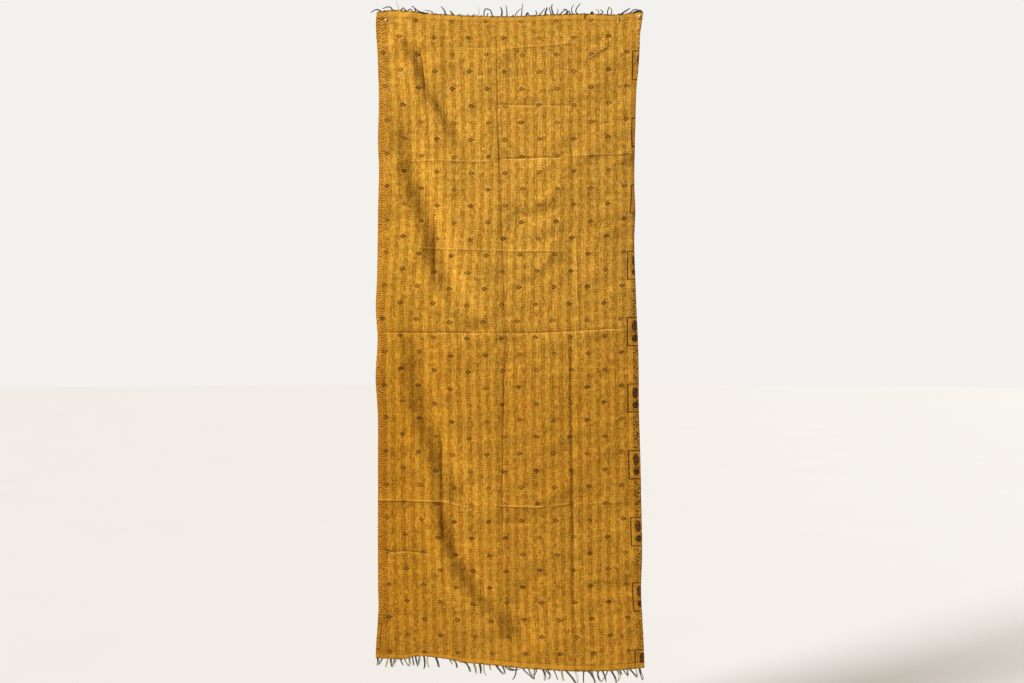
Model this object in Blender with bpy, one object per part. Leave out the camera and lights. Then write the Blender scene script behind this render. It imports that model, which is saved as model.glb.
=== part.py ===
"""Kantha throw hung face on from two wall pins, with loose yarn fringes at head and foot.

Metres, +Z up. The wall is the plane Y = 0 and the throw's face looks along -Y.
The origin is the middle of the top edge, on the wall.
"""
import math
import random
from collections import namedtuple

import bmesh
import bpy
from mathutils import Vector

# Finishes: base colour and roughness
COTTON = ((0.50, 0.24, 0.035), 0.92)
YARN = ((0.035, 0.040, 0.018), 0.90)
PIN_PAINT = ((0.80, 0.78, 0.74), 0.40)

# Driving sizes of the throw
WIDTH = 0.870
LENGTH = 2.105
THICKNESS = 0.0020
WALL_GAP = 0.0008
STAND_OFF = 0.005

EdgeRow = namedtuple("EdgeRow", "along place")
Stop = namedtuple("Stop", "fraction parts")
Fold = namedtuple("Fold", "way path height steep crest_share before after")
Crease = namedtuple("Crease", "place height start end")
Pin = namedtuple("Pin", "name x drop")

# Side edges: metres below the top corner, then x
LEFT_EDGE = (
    EdgeRow(0.000, -0.434), EdgeRow(0.030, -0.437), EdgeRow(0.120, -0.431),
    EdgeRow(0.300, -0.427), EdgeRow(0.400, -0.430), EdgeRow(0.500, -0.427),
    EdgeRow(0.650, -0.430), EdgeRow(0.850, -0.433), EdgeRow(0.950, -0.437),
    EdgeRow(1.050, -0.431), EdgeRow(1.170, -0.437), EdgeRow(1.310, -0.430),
    EdgeRow(1.500, -0.430), EdgeRow(1.850, -0.430), EdgeRow(1.930, -0.428),
    EdgeRow(2.060, -0.436), EdgeRow(2.105, -0.437),
)
RIGHT_EDGE = (
    EdgeRow(0.000, 0.434), EdgeRow(0.060, 0.424), EdgeRow(0.140, 0.420),
    EdgeRow(0.250, 0.411), EdgeRow(0.400, 0.407), EdgeRow(0.550, 0.405),
    EdgeRow(0.630, 0.408), EdgeRow(0.720, 0.405), EdgeRow(0.820, 0.407),
    EdgeRow(0.930, 0.411), EdgeRow(1.050, 0.417), EdgeRow(1.280, 0.420),
    EdgeRow(1.550, 0.427), EdgeRow(1.750, 0.430), EdgeRow(1.880, 0.427),
    EdgeRow(2.050, 0.436), EdgeRow(2.105, 0.438),
)
# Top and bottom edges: metres from the left corner, then z
TOP_EDGE = (
    EdgeRow(0.000, 0.0190), EdgeRow(0.055, 0.0240), EdgeRow(0.124, 0.0170),
    EdgeRow(0.165, 0.0110), EdgeRow(0.200, 0.0080), EdgeRow(0.290, 0.0025),
    EdgeRow(0.435, 0.0000), EdgeRow(0.560, 0.0060), EdgeRow(0.670, 0.0095),
    EdgeRow(0.780, 0.0080), EdgeRow(0.828, 0.0140), EdgeRow(0.870, 0.0200),
)
BOTTOM_EDGE = (
    EdgeRow(0.000, -2.0855), EdgeRow(0.095, -2.0875), EdgeRow(0.125, -2.0790),
    EdgeRow(0.165, -2.0790), EdgeRow(0.240, -2.0875), EdgeRow(0.285, -2.0985),
    EdgeRow(0.400, -2.1085), EdgeRow(0.515, -2.1190), EdgeRow(0.640, -2.1260),
    EdgeRow(0.740, -2.1265), EdgeRow(0.825, -2.1215), EdgeRow(0.870, -2.1180),
)

# How the sheet is divided: the last fraction of each band and its number of parts.
# The narrow bands lie around the pins and on the storage creases.
COLUMN_STOPS = (
    Stop(0.030, 2), Stop(0.044, 1), Stop(0.239, 10), Stop(0.259, 1), Stop(0.475, 10),
    Stop(0.495, 1), Stop(0.732, 7), Stop(0.752, 1), Stop(0.978, 6), Stop(0.993, 1),
    Stop(1.000, 1),
)
ROW_STOPS = (Stop(0.007, 1), Stop(0.020, 1), Stop(0.240, 8), Stop(0.437, 14), Stop(1.000, 22))

# How far an uneven top or bottom edge pulls the rows of the weave with it
TOP_PULL = 0.060
BOTTOM_PULL = 0.100

# Soft forms of the hang: belly by metres below the top, in metres forward
BELLY = (
    EdgeRow(0.00, 0.009), EdgeRow(0.15, 0.017), EdgeRow(0.60, 0.024),
    EdgeRow(1.20, 0.021), EdgeRow(1.80, 0.016), EdgeRow(2.105, 0.011),
)
BELLY_FULLNESS = 0.65
SWAY = 0.0022
SWAY_WAVES = ((9.0, 4.4, 0.0), (-3.0, 12.0, 0.7))
SIDE_RIPPLE = 0.0035
SIDE_REACH = 0.060
SIDE_PITCH = 0.270

# Hanging folds. A fold that runs down has its path as x by metres below the top, and one
# that runs across as metres below the top by x. The cloth rises gently to a crest,
# drops by the fold's height over the path, and rises gently again.
FOLDS = (
    Fold("down", (EdgeRow(-0.032, -0.424), EdgeRow(0.007, -0.394), EdgeRow(0.069, -0.355),
                  EdgeRow(0.144, -0.310), EdgeRow(0.229, -0.277), EdgeRow(0.294, -0.241),
                  EdgeRow(0.360, -0.199), EdgeRow(0.464, -0.143)),
         height=0.019, steep=0.018, crest_share=0.60, before=0.050, after=0.045),
    Fold("down", (EdgeRow(0.229, -0.388), EdgeRow(0.360, -0.362), EdgeRow(0.487, -0.339),
                  EdgeRow(0.594, -0.303), EdgeRow(0.712, -0.264), EdgeRow(0.816, -0.238),
                  EdgeRow(0.920, -0.228), EdgeRow(1.064, -0.225)),
         height=0.025, steep=0.024, crest_share=0.35, before=0.045, after=0.075),
    Fold("down", (EdgeRow(0.783, -0.414), EdgeRow(0.940, -0.368), EdgeRow(1.044, -0.339),
                  EdgeRow(1.197, -0.319), EdgeRow(1.315, -0.293), EdgeRow(1.396, -0.258),
                  EdgeRow(1.510, -0.212), EdgeRow(1.624, -0.156)),
         height=0.025, steep=0.025, crest_share=0.35, before=0.042, after=0.070),
    Fold("down", (EdgeRow(1.520, -0.248), EdgeRow(1.664, -0.215), EdgeRow(1.755, -0.186),
                  EdgeRow(1.823, -0.147), EdgeRow(1.889, -0.101), EdgeRow(1.944, -0.036),
                  EdgeRow(2.045, 0.039)),
         height=0.023, steep=0.021, crest_share=0.55, before=0.050, after=0.050),
    Fold("down", (EdgeRow(1.054, -0.417), EdgeRow(1.103, -0.388), EdgeRow(1.165, -0.346)),
         height=0.005, steep=0.014, crest_share=0.50, before=0.024, after=0.024),
    Fold("down", (EdgeRow(0.686, -0.121), EdgeRow(0.777, -0.088), EdgeRow(0.836, -0.059),
                  EdgeRow(0.904, -0.029)),
         height=0.004, steep=0.014, crest_share=0.40, before=0.030, after=0.030),
    Fold("across", (EdgeRow(-0.091, 0.816), EdgeRow(-0.039, 0.858), EdgeRow(0.020, 0.868),
                    EdgeRow(0.085, 0.842), EdgeRow(0.137, 0.783), EdgeRow(0.183, 0.712)),
         height=0.006, steep=0.014, crest_share=0.60, before=0.026, after=0.035),
    Fold("across", (EdgeRow(-0.026, 0.637), EdgeRow(0.039, 0.646), EdgeRow(0.098, 0.633),
                    EdgeRow(0.150, 0.588), EdgeRow(0.215, 0.516)),
         height=0.005, steep=0.014, crest_share=0.60, before=0.024, after=0.030),
)
CREST_SHIFT = 1.1
CREST_SPREAD = 0.5
SLOPE_STEP = 0.010
FADE_IN = 0.14
FADE_OUT = 0.26

# Lengthwise storage creases: fraction across, height, and from and to in fractions down
CREASES = (
    Crease(0.249, 0.0016, 0.00, 0.22),
    Crease(0.485, 0.0034, 0.00, 1.00),
    Crease(0.742, 0.0026, 0.15, 1.00),
)
CREASE_STEEP = 0.009
CREASE_BEFORE = 0.060
CREASE_AFTER = 0.100
CREASE_SHARE = 0.5
CREASE_FADE = 6.0

# Wall pins: a round head before the cloth and a shank through it
PINS = (Pin("left_pin", -0.4045, 0.008), Pin("right_pin", 0.4215, -0.005))
PIN_HOLD = 0.028
PIN_EASE = 0.090
PIN_HOLE = 0.0011
PIN_SHANK = 0.0006
PIN_HEAD = 0.0037
PIN_HEAD_DEPTH = 0.0030
PIN_HEAD_GAP = 0.0005
PIN_INTO_WALL = 0.012
PIN_SIDES = 12

# Fringes: narrow strips of yarn roots, parted from the cloth's edge
STRIP_HEIGHT = 0.0030
STRIP_GAP = 0.0009
STRIP_INSET = 0.006
STRAND_STEPS = 3
STRAND_TAPER = 0.55
STRAND_CLEAR = 0.0006
STRAND_CURL = 0.0015
MOSTLY_SHORT = 1.4
LEAST_FORWARD = 0.05
MOST_FORWARD = 0.30
HANGING_FORWARD = 0.35
Fringe = namedtuple("Fringe", "name side strands root shortest longest lean seed")
FRINGES = (
    Fringe("top_fringe", 1.0, 36, 0.0024, 0.006, 0.019, 0.70, 3),
    Fringe("bottom_fringe", -1.0, 88, 0.0026, 0.024, 0.046, 0.30, 8),
)


def clear_scene():
    """Remove everything that the new scene starts with."""
    for item in list(bpy.data.objects):
        bpy.data.objects.remove(item, do_unlink=True)


def make_material(name, colour, roughness):
    """One plain Principled finish."""
    material = bpy.data.materials.new(name)
    material.use_nodes = True
    shader = material.node_tree.nodes["Principled BSDF"]
    shader.inputs["Base Color"].default_value = (*colour, 1.0)
    shader.inputs["Roughness"].default_value = roughness
    shader.inputs["Metallic"].default_value = 0.0
    return material


def add_object(name, bm, material):
    """Turn a bmesh into a named object with its material."""
    mesh = bpy.data.meshes.new(name)
    bm.to_mesh(mesh)
    bm.free()
    item = bpy.data.objects.new(name, mesh)
    bpy.context.scene.collection.objects.link(item)
    mesh.materials.append(material)
    return item


def ease(value):
    """Smooth step from 0 to 1."""
    value = min(max(value, 0.0), 1.0)
    return value * value * (3.0 - 2.0 * value)


def curve_value(before, start, end, after, t):
    """Catmull-Rom value between start and end."""
    return 0.5 * (
        2.0 * start + (end - before) * t
        + (2.0 * before - 5.0 * start + 4.0 * end - after) * t * t
        + (3.0 * start - before - 3.0 * end + after) * t * t * t
    )


def read_table(rows, along):
    """Smooth value of an EdgeRow table at one place along it."""
    last = len(rows) - 1
    index = 0
    while index < last - 1 and rows[index + 1].along < along:
        index += 1
    start, end = rows[index], rows[index + 1]
    t = min(max((along - start.along) / (end.along - start.along), 0.0), 1.0)
    before = rows[max(index - 1, 0)].place
    after = rows[min(index + 2, last)].place
    return curve_value(before, start.place, end.place, after, t)


def stations(stops):
    """Fractions at which the sheet is divided."""
    places = [0.0]
    for stop in stops:
        start = places[-1]
        for part in range(1, stop.parts + 1):
            places.append(start + (stop.fraction - start) * part / stop.parts)
    return places


def rise(distance, half_width):
    """Smooth rise from 0 to 1 over a line."""
    return 0.5 * (1.0 + math.tanh(distance / half_width))


def fold_section(distance, height, steep, crest_share, before, after):
    """Cross-section of a fold: gentle crest, steep drop at distance 0, gentle return."""
    crest = crest_share * rise(distance + CREST_SHIFT * before, CREST_SPREAD * before)
    back = (1.0 - crest_share) * rise(distance - CREST_SHIFT * after, CREST_SPREAD * after)
    return height * (crest + back - rise(distance, steep))


def fold_forward(fold, x, drop):
    """How far one hanging fold brings the cloth forward at a place."""
    along, across = (drop, x) if fold.way == "down" else (x, drop)
    start, end = fold.path[0].along, fold.path[-1].along
    part = (along - start) / (end - start)
    if not 0.0 < part < 1.0:
        return 0.0
    middle = read_table(fold.path, along)
    ahead = read_table(fold.path, along + SLOPE_STEP)
    slope = (ahead - middle) / SLOPE_STEP
    distance = (across - middle) / math.hypot(1.0, slope)
    fade = ease(part / FADE_IN) * ease((1.0 - part) / FADE_OUT)
    return fade * fold_section(
        distance, fold.height, fold.steep, fold.crest_share, fold.before, fold.after
    )


def crease_forward(crease, u, v):
    """How far one lengthwise storage crease brings the cloth forward."""
    span = crease.end - crease.start
    inside = ease(CREASE_FADE * (v - crease.start) / span + 0.5)
    inside *= ease(CREASE_FADE * (crease.end - v) / span + 0.5)
    distance = (u - crease.place) * WIDTH
    return inside * fold_section(
        distance, crease.height, CREASE_STEEP, CREASE_SHARE, CREASE_BEFORE, CREASE_AFTER
    )


def pin_weight(x, z):
    """0 where a pin holds the cloth to the wall, rising to 1 away from the pins."""
    weight = 1.0
    for pin in PINS:
        reach = math.hypot(x - pin.x, z + pin.drop)
        weight *= ease((reach - PIN_HOLD) / PIN_EASE)
    return weight


def outline(u, v):
    """Place on the sheet, seen face on, for fractions across and down."""
    drop = v * LENGTH
    left = read_table(LEFT_EDGE, drop)
    right = read_table(RIGHT_EDGE, drop)
    top = read_table(TOP_EDGE, u * WIDTH)
    bottom = read_table(BOTTOM_EDGE, u * WIDTH) + LENGTH
    z = -drop + top * math.exp(-drop / TOP_PULL)
    z += bottom * math.exp((drop - LENGTH) / BOTTOM_PULL)
    return left + (right - left) * u, z


def forward(u, v):
    """Distance of the front face from the wall."""
    x, z = outline(u, v)
    across = max(math.sin(math.pi * u), 0.0)
    belly = read_table(BELLY, v * LENGTH) * across ** BELLY_FULLNESS
    sway = SWAY * math.prod(math.sin(a * u + b * v + start) for a, b, start in SWAY_WAVES)
    side = min(u, 1.0 - u) * WIDTH / SIDE_REACH
    ripple = SIDE_RIPPLE * math.exp(-side) * math.sin(math.tau * v * LENGTH / SIDE_PITCH)
    folds = sum(fold_forward(fold, x, -z) for fold in FOLDS)
    creases = sum(crease_forward(crease, u, v) for crease in CREASES)
    soft = max(STAND_OFF + belly + sway + ripple + folds + creases, 0.0)
    return WALL_GAP + THICKNESS + pin_weight(x, z) * soft


def front_point(u, v):
    """Point of the front face."""
    x, z = outline(u, v)
    return Vector((x, -forward(u, v), z))


def open_pin_holes(bm):
    """Cut the small square hole that each pin's shank passes through."""
    for pin in PINS:
        centre = Vector((pin.x, 0.0, -pin.drop))
        cell = min(bm.faces, key=lambda face: cell_distance(face, centre))
        bmesh.ops.inset_individual(bm, faces=[cell], thickness=PIN_HOLE)
        middle = cell.calc_center_median()
        for vert in cell.verts:
            vert.co.x = centre.x + math.copysign(PIN_HOLE, vert.co.x - middle.x)
            vert.co.z = centre.z + math.copysign(PIN_HOLE, vert.co.z - middle.z)
        bmesh.ops.delete(bm, geom=[cell], context="FACES_ONLY")


def cell_distance(face, centre):
    """How far a cell's middle lies from a pin, seen face on."""
    middle = face.calc_center_median()
    return math.hypot(middle.x - centre.x, middle.z - centre.z)


def build_cloth(material):
    """The quilted sheet with its hems, as one closed solid."""
    across, down = stations(COLUMN_STOPS), stations(ROW_STOPS)
    bm = bmesh.new()
    grid = [[bm.verts.new(front_point(u, v)) for u in across] for v in down]
    for upper, lower in zip(grid, grid[1:]):
        for column in range(len(across) - 1):
            corners = (upper[column], lower[column], lower[column + 1], upper[column + 1])
            bm.faces.new(corners)
    open_pin_holes(bm)
    bmesh.ops.triangulate(bm, faces=bm.faces, quad_method="FIXED")
    cloth = add_object("cloth", bm, material)
    thicken = cloth.modifiers.new("two stitched layers", "SOLIDIFY")
    thicken.thickness = THICKNESS
    thicken.offset = -1.0
    thicken.use_rim = True
    return cloth


def edge_point(v, u, across):
    """Point on the cloth's own straight-sided edge, so that a strip keeps its gap."""
    column = 0
    while column < len(across) - 2 and across[column + 1] < u:
        column += 1
    start, end = across[column], across[column + 1]
    return front_point(start, v).lerp(front_point(end, v), (u - start) / (end - start))


def strip_sections(fringe):
    """Cross-sections of the root strip, from left to right."""
    across = stations(COLUMN_STOPS)
    v = 0.0 if fringe.side > 0.0 else 1.0
    pitch = (WIDTH - 2.0 * STRIP_INSET) / fringe.strands
    places = []
    for strand in range(fringe.strands):
        middle = STRIP_INSET + pitch * (strand + 0.5)
        places += [middle - fringe.root / 2.0, middle + fringe.root / 2.0]
    sections = []
    for place in places:
        near = edge_point(v, place / WIDTH, across)
        near.z += fringe.side * STRIP_GAP
        far = near + Vector((0.0, 0.0, fringe.side * STRIP_HEIGHT))
        back = Vector((0.0, THICKNESS, 0.0))
        sections.append((near, far, far + back, near + back))
    return sections, pitch


def build_strip(bm, sections):
    """Closed strip through its cross-sections, and the faces that the strands grow from."""
    rings = [[bm.verts.new(point) for point in section] for section in sections]
    bm.faces.new(rings[0])
    bm.faces.new(list(reversed(rings[-1])))
    roots = []
    for index, (ring, after) in enumerate(zip(rings, rings[1:])):
        for side in range(4):
            following = (side + 1) % 4
            quad = (ring[side], after[side], after[following], ring[following])
            face = bm.faces.new(quad)
            if side == 1 and index % 2 == 0:
                roots.append(face)
    return roots


class Strand:
    """One loose yarn end: how long it is and how it leans, curls and stands forward."""

    def __init__(self, fringe, pitch, chance):
        spread = chance.random() ** MOSTLY_SHORT
        self.length = fringe.shortest + (fringe.longest - fringe.shortest) * spread
        reach = (pitch - fringe.root) / 2.0 - STRAND_CLEAR
        self.lean = min(reach, fringe.lean * self.length) * chance.uniform(-1.0, 1.0)
        self.curl = min(reach - abs(self.lean), STRAND_CURL) * chance.uniform(-1.0, 1.0)
        self.forward = self.length * chance.uniform(LEAST_FORWARD, MOST_FORWARD)
        self.forward *= HANGING_FORWARD if fringe.side < 0.0 else 1.0
        self.side = fringe.side

    def middle(self, root, t):
        """Point of the strand's middle at t, 0 at the root and 1 at the tip."""
        x = root.x + self.lean * t + self.curl * math.sin(math.pi * t)
        z = root.z + self.side * self.length * t
        y = root.y - self.forward * t * t
        return Vector((x, y, z))


def grow_strands(bm, roots, fringe, pitch):
    """Draw each root face out into a tapering yarn end."""
    chance = random.Random(fringe.seed)
    mark = bm.faces.layers.int["strand"]
    strands, middles, corners = [], [], []
    for number, face in enumerate(roots):
        face[mark] = number
        strands.append(Strand(fringe, pitch, chance))
        middle = face.calc_center_median()
        middles.append(middle)
        corners.append([vert.co - middle for vert in face.verts])
    tips = roots
    for step in range(1, STRAND_STEPS + 1):
        t = step / STRAND_STEPS
        tips = bmesh.ops.extrude_discrete_faces(bm, faces=tips)["faces"]
        for face in tips:
            number = face[mark]
            centre = strands[number].middle(middles[number], t)
            size = 1.0 - (1.0 - STRAND_TAPER) * t
            for vert, corner in zip(face.verts, corners[number]):
                vert.co = centre + corner * size


def build_fringe(fringe, material):
    """Root strip and yarn ends of one fringe, as one closed solid."""
    bm = bmesh.new()
    bm.faces.layers.int.new("strand")
    sections, pitch = strip_sections(fringe)
    roots = build_strip(bm, sections)
    grow_strands(bm, roots, fringe, pitch)
    bmesh.ops.recalc_face_normals(bm, faces=bm.faces)
    return add_object(fringe.name, bm, material)


def pin_profile():
    """Half outline of a pin, from the crown of its head to its point, along +Y."""
    return (
        (0.0, -PIN_HEAD_DEPTH),
        (PIN_HEAD * 0.62, -PIN_HEAD_DEPTH * 0.86),
        (PIN_HEAD, -PIN_HEAD_DEPTH * 0.35),
        (PIN_HEAD * 0.92, 0.0),
        (PIN_SHANK, 0.0),
        (PIN_SHANK, PIN_INTO_WALL * 0.8),
        (0.0, PIN_INTO_WALL + WALL_GAP + THICKNESS),
    )


def build_pin(pin, material):
    """Round-headed wall pin, turned about its own line."""
    bm = bmesh.new()
    verts = [bm.verts.new((radius, along, 0.0)) for radius, along in pin_profile()]
    edges = [bm.edges.new(pair) for pair in zip(verts, verts[1:])]
    bmesh.ops.spin(
        bm, geom=verts + edges, cent=(0.0, 0.0, 0.0), axis=(0.0, 1.0, 0.0),
        angle=math.tau, steps=PIN_SIDES, use_merge=True,
    )
    bmesh.ops.remove_doubles(bm, verts=bm.verts, dist=1.0e-6)
    bmesh.ops.recalc_face_normals(bm, faces=bm.faces)
    item = add_object(pin.name, bm, material)
    item.location = (pin.x, -(WALL_GAP + THICKNESS + PIN_HEAD_GAP), -pin.drop)
    item.data.shade_smooth()
    item.data.set_sharp_from_angle(angle=math.radians(50.0))
    return item


def build_throw():
    """All pieces of the hung throw."""
    clear_scene()
    build_cloth(make_material("golden quilted cotton", *COTTON))
    yarn = make_material("dark green yarn", *YARN)
    for fringe in FRINGES:
        build_fringe(fringe, yarn)
    paint = make_material("white pin head", *PIN_PAINT)
    for pin in PINS:
        build_pin(pin, paint)


build_throw()
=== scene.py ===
"""Kantha throw hung from two wall pins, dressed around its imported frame.

The cloth, its running stitches, its yarn fringes and its wall pins are built in metres
in the frame's own axes. The wall is the plane Y = 0 and the printed face looks along -Y.
"""
from __future__ import annotations

import logging
import math
from dataclasses import dataclass, field
from enum import Enum

import bmesh
import bpy
import numpy as np
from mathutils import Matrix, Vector


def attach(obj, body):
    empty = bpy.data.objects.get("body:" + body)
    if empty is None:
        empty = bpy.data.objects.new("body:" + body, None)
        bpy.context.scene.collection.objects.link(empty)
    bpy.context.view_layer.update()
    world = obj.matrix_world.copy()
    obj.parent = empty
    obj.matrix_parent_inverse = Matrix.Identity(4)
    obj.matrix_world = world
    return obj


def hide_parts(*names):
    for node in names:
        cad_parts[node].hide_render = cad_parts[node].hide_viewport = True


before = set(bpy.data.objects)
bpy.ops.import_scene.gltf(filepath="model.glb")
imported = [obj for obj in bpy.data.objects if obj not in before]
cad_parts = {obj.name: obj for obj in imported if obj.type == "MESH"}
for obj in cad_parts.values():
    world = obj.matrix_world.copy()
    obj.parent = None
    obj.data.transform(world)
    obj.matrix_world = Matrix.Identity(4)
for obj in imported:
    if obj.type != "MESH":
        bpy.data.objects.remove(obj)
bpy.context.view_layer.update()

log = logging.getLogger("throw")

BODY = "root"
WIDTH = 0.870
LENGTH = 2.105
THICKNESS = 0.0020
WALL_GAP = 0.0008
STAND_OFF = 0.005

Array = np.ndarray
Socket = bpy.types.NodeSocket


class Way(Enum):
    """Which way a hanging fold runs over the cloth."""

    DOWN = "down"
    ACROSS = "across"


class Edge(Enum):
    """The two fringed ends of the throw, as the direction in which their yarns point."""

    HEAD = 1.0
    FOOT = -1.0


class Face(Enum):
    """The two faces of the cloth, as the direction in which they look along Y."""

    PRINTED = -1.0
    REVERSE = 1.0


# ---- shapes ----


def ease(value: Array) -> Array:
    """Smooth step from 0 to 1."""
    value = np.clip(value, 0.0, 1.0)
    return value * value * (3.0 - 2.0 * value)


def rise(distance: Array, half_width: float) -> Array:
    """Smooth rise from 0 to 1 over a line."""
    return 0.5 * (1.0 + np.tanh(distance / half_width))


@dataclass(frozen=True)
class Track:
    """Smooth curve through a short table.

    Args:
        rows: pairs of a place along the curve and its value there.
    """

    rows: tuple[tuple[float, float], ...]

    def at(self, along: Array) -> Array:
        """Value at places along the curve.

        Args:
            along: the places.

        Returns:
            The values.
        """
        knots = np.array([row[0] for row in self.rows])
        values = np.array([row[1] for row in self.rows])
        last = len(knots) - 1
        index = np.searchsorted(knots[1:-1], along)
        t = np.clip((along - knots[index]) / (knots[index + 1] - knots[index]), 0.0, 1.0)
        before = values[np.maximum(index - 1, 0)]
        start, end = values[index], values[index + 1]
        after = values[np.minimum(index + 2, last)]
        return 0.5 * (
            2.0 * start + (end - before) * t
            + (2.0 * before - 5.0 * start + 4.0 * end - after) * t * t
            + (3.0 * start - before - 3.0 * end + after) * t * t * t
        )

    def line(self, along: Array) -> Array:
        """Straight-sided value at places along the curve, carried on past its ends.

        Args:
            along: the places.

        Returns:
            The values.
        """
        knots = np.array([row[0] for row in self.rows])
        values = np.array([row[1] for row in self.rows])
        index = np.clip(np.searchsorted(knots, along) - 1, 0, len(knots) - 2)
        slope = (values[index + 1] - values[index]) / (knots[index + 1] - knots[index])
        return values[index] + slope * (along - knots[index])

    def held(self, along: Array) -> Array:
        """Straight-sided value at places along the curve, kept the same past its ends."""
        return np.interp(along, [row[0] for row in self.rows], [row[1] for row in self.rows])


@dataclass(frozen=True)
class FoldSection:
    """Cross-section of a fold: a gentle crest, a steep drop and a gentle return."""

    height: float
    steep: float
    crest_share: float
    before: float
    after: float
    shift: float = 1.1
    spread: float = 0.5

    def forward(self, distance: Array) -> Array:
        """How far the cloth stands forward at a distance from the steep line.

        Args:
            distance: metres from the line.

        Returns:
            Metres forward.
        """
        crest = rise(distance + self.shift * self.before, self.spread * self.before)
        back = rise(distance - self.shift * self.after, self.spread * self.after)
        shares = self.crest_share * crest + (1.0 - self.crest_share) * back
        return self.height * (shares - rise(distance, self.steep))


@dataclass(frozen=True)
class HangingFold:
    """One soft fold of the hang.

    Args:
        way: the way that it runs.
        path: its line, as x by drop for a fold that runs down, or drop by x.
        section: its cross-section.
    """

    way: Way
    path: Track
    section: FoldSection
    slope_step: float = 0.010
    fade_in: float = 0.14
    fade_out: float = 0.26

    def forward(self, x: Array, drop: Array) -> Array:
        """How far this fold brings the cloth forward.

        Args:
            x: metres right of the middle.
            drop: metres below the top.

        Returns:
            Metres forward.
        """
        along, across = (drop, x) if self.way is Way.DOWN else (x, drop)
        start, end = self.path.rows[0][0], self.path.rows[-1][0]
        part = (along - start) / (end - start)
        middle = self.path.at(along)
        slope = (self.path.at(along + self.slope_step) - middle) / self.slope_step
        distance = (across - middle) / np.hypot(1.0, slope)
        fade = ease(part / self.fade_in) * ease((1.0 - part) / self.fade_out)
        return fade * self.section.forward(distance)


@dataclass(frozen=True)
class StorageCrease:
    """Lengthwise crease from folded storage, by fractions across and down."""

    place: float
    section: FoldSection
    start: float
    end: float
    fade: float = 6.0
    middle: float = 0.5

    def forward(self, u: Array, v: Array) -> Array:
        """How far this crease brings the cloth forward.

        Args:
            u: fractions across.
            v: fractions down.

        Returns:
            Metres forward.
        """
        span = self.end - self.start
        inside = ease(self.fade * (v - self.start) / span + self.middle)
        inside = inside * ease(self.fade * (self.end - v) / span + self.middle)
        return inside * self.section.forward((u - self.place) * WIDTH)


@dataclass(frozen=True)
class PressedCrease:
    """Sharp pressed crease right down or across the cloth, deeper in some places.

    Args:
        way: the way that it runs.
        home: fraction across or down at which the cloth is divided more finely for it.
        path: its line, as x by drop for a crease that runs down, or drop by x.
        depths: depth of the valley along it, or less than nothing for a ridge.
        before: reach of its left or upper side.
        after: reach of its right or lower side.
    """

    way: Way
    home: float
    path: Track
    depths: Track
    before: float = 0.0060
    after: float = 0.0070
    waver: float = 0.0007
    roundness: float = 0.02
    # painted highlight on one side of the crease and painted shade on the other: their distance
    # from the line, the depth at which they are full, and the highlight's share by way
    rubbed_and_lit: float = 0.0019
    full_light_depth: float = 0.0016
    highlight_share: tuple[tuple[Way, float], ...] = ((Way.DOWN, 0.35), (Way.ACROSS, 1.0))

    def line(self, along: Array) -> Array:
        """Where the crease lies at places along it."""
        return self.path.line(along) + self.waver * (
            np.sin(37.0 * along + 90.0 * self.home) + 0.6 * np.sin(95.0 * along))

    def gap(self, x: Array, drop: Array) -> tuple[Array, Array]:
        """Distance from the crease, and its depth alongside."""
        along, side = (drop, x) if self.way is Way.DOWN else (x, drop)
        return side - self.line(along), self.depths.held(along)

    def forward(self, x: Array, drop: Array) -> Array:
        """How far this crease brings the cloth forward.

        Args:
            x: metres right of the middle.
            drop: metres below the top.

        Returns:
            Metres forward.
        """
        distance, depth = self.gap(x, drop)
        reach = np.where(distance < 0.0, self.before, self.after)
        return -2.0 * depth * np.exp(-np.sqrt((distance / reach) ** 2 + self.roundness))

    def crease_light(self, x: Array, drop: Array) -> Array:
        """More than nothing where the crease gets painted highlight, less where it gets painted
        shade.

        Args:
            x: metres right of the middle.
            drop: metres below the top.

        Returns:
            The painted highlight and shade, about 1 or -1 where it is strong.
        """
        distance, depth = self.gap(x, drop)
        # painted highlight on the lit side of the crease line and painted shade on the other side
        pale = np.exp(-(((distance - self.rubbed_and_lit) / self.rubbed_and_lit) ** 2))
        shaded_side = np.exp(-(((distance + self.rubbed_and_lit) / self.rubbed_and_lit) ** 2))
        share = dict(self.highlight_share)[self.way]
        return depth / self.full_light_depth * (share * pale - shaded_side)


@dataclass(frozen=True)
class SoftTrough:
    """Short soft trough or ridge across the cloth, from one place to another.

    Args:
        x0: x of its left end.
        drop0: metres below the top of its left end.
        x1: x of its right end.
        drop1: metres below the top of its right end.
        depth: depth of a valley, or less than nothing for a ridge.
        half_width: half of its width.
    """

    x0: float
    drop0: float
    x1: float
    drop1: float
    depth: float
    half_width: float
    end_reach: float = 0.020
    waver: float = 0.0012
    fullness: float = 1.9

    def forward(self, x: Array, drop: Array) -> Array:
        """How far this trough brings the cloth forward.

        Args:
            x: metres right of the middle.
            drop: metres below the top.

        Returns:
            Metres forward.
        """
        inside = ease((x - self.x0) / self.end_reach) * ease((self.x1 - x) / self.end_reach)
        part = np.clip((x - self.x0) / (self.x1 - self.x0), 0.0, 1.0)
        line = self.drop0 + (self.drop1 - self.drop0) * part
        line = line + self.waver * np.sin(40.0 * x + 300.0 * self.drop0)
        bowl = np.exp(-(((drop - line) / self.half_width) ** 2))
        return -self.fullness * self.depth * inside * bowl


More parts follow.
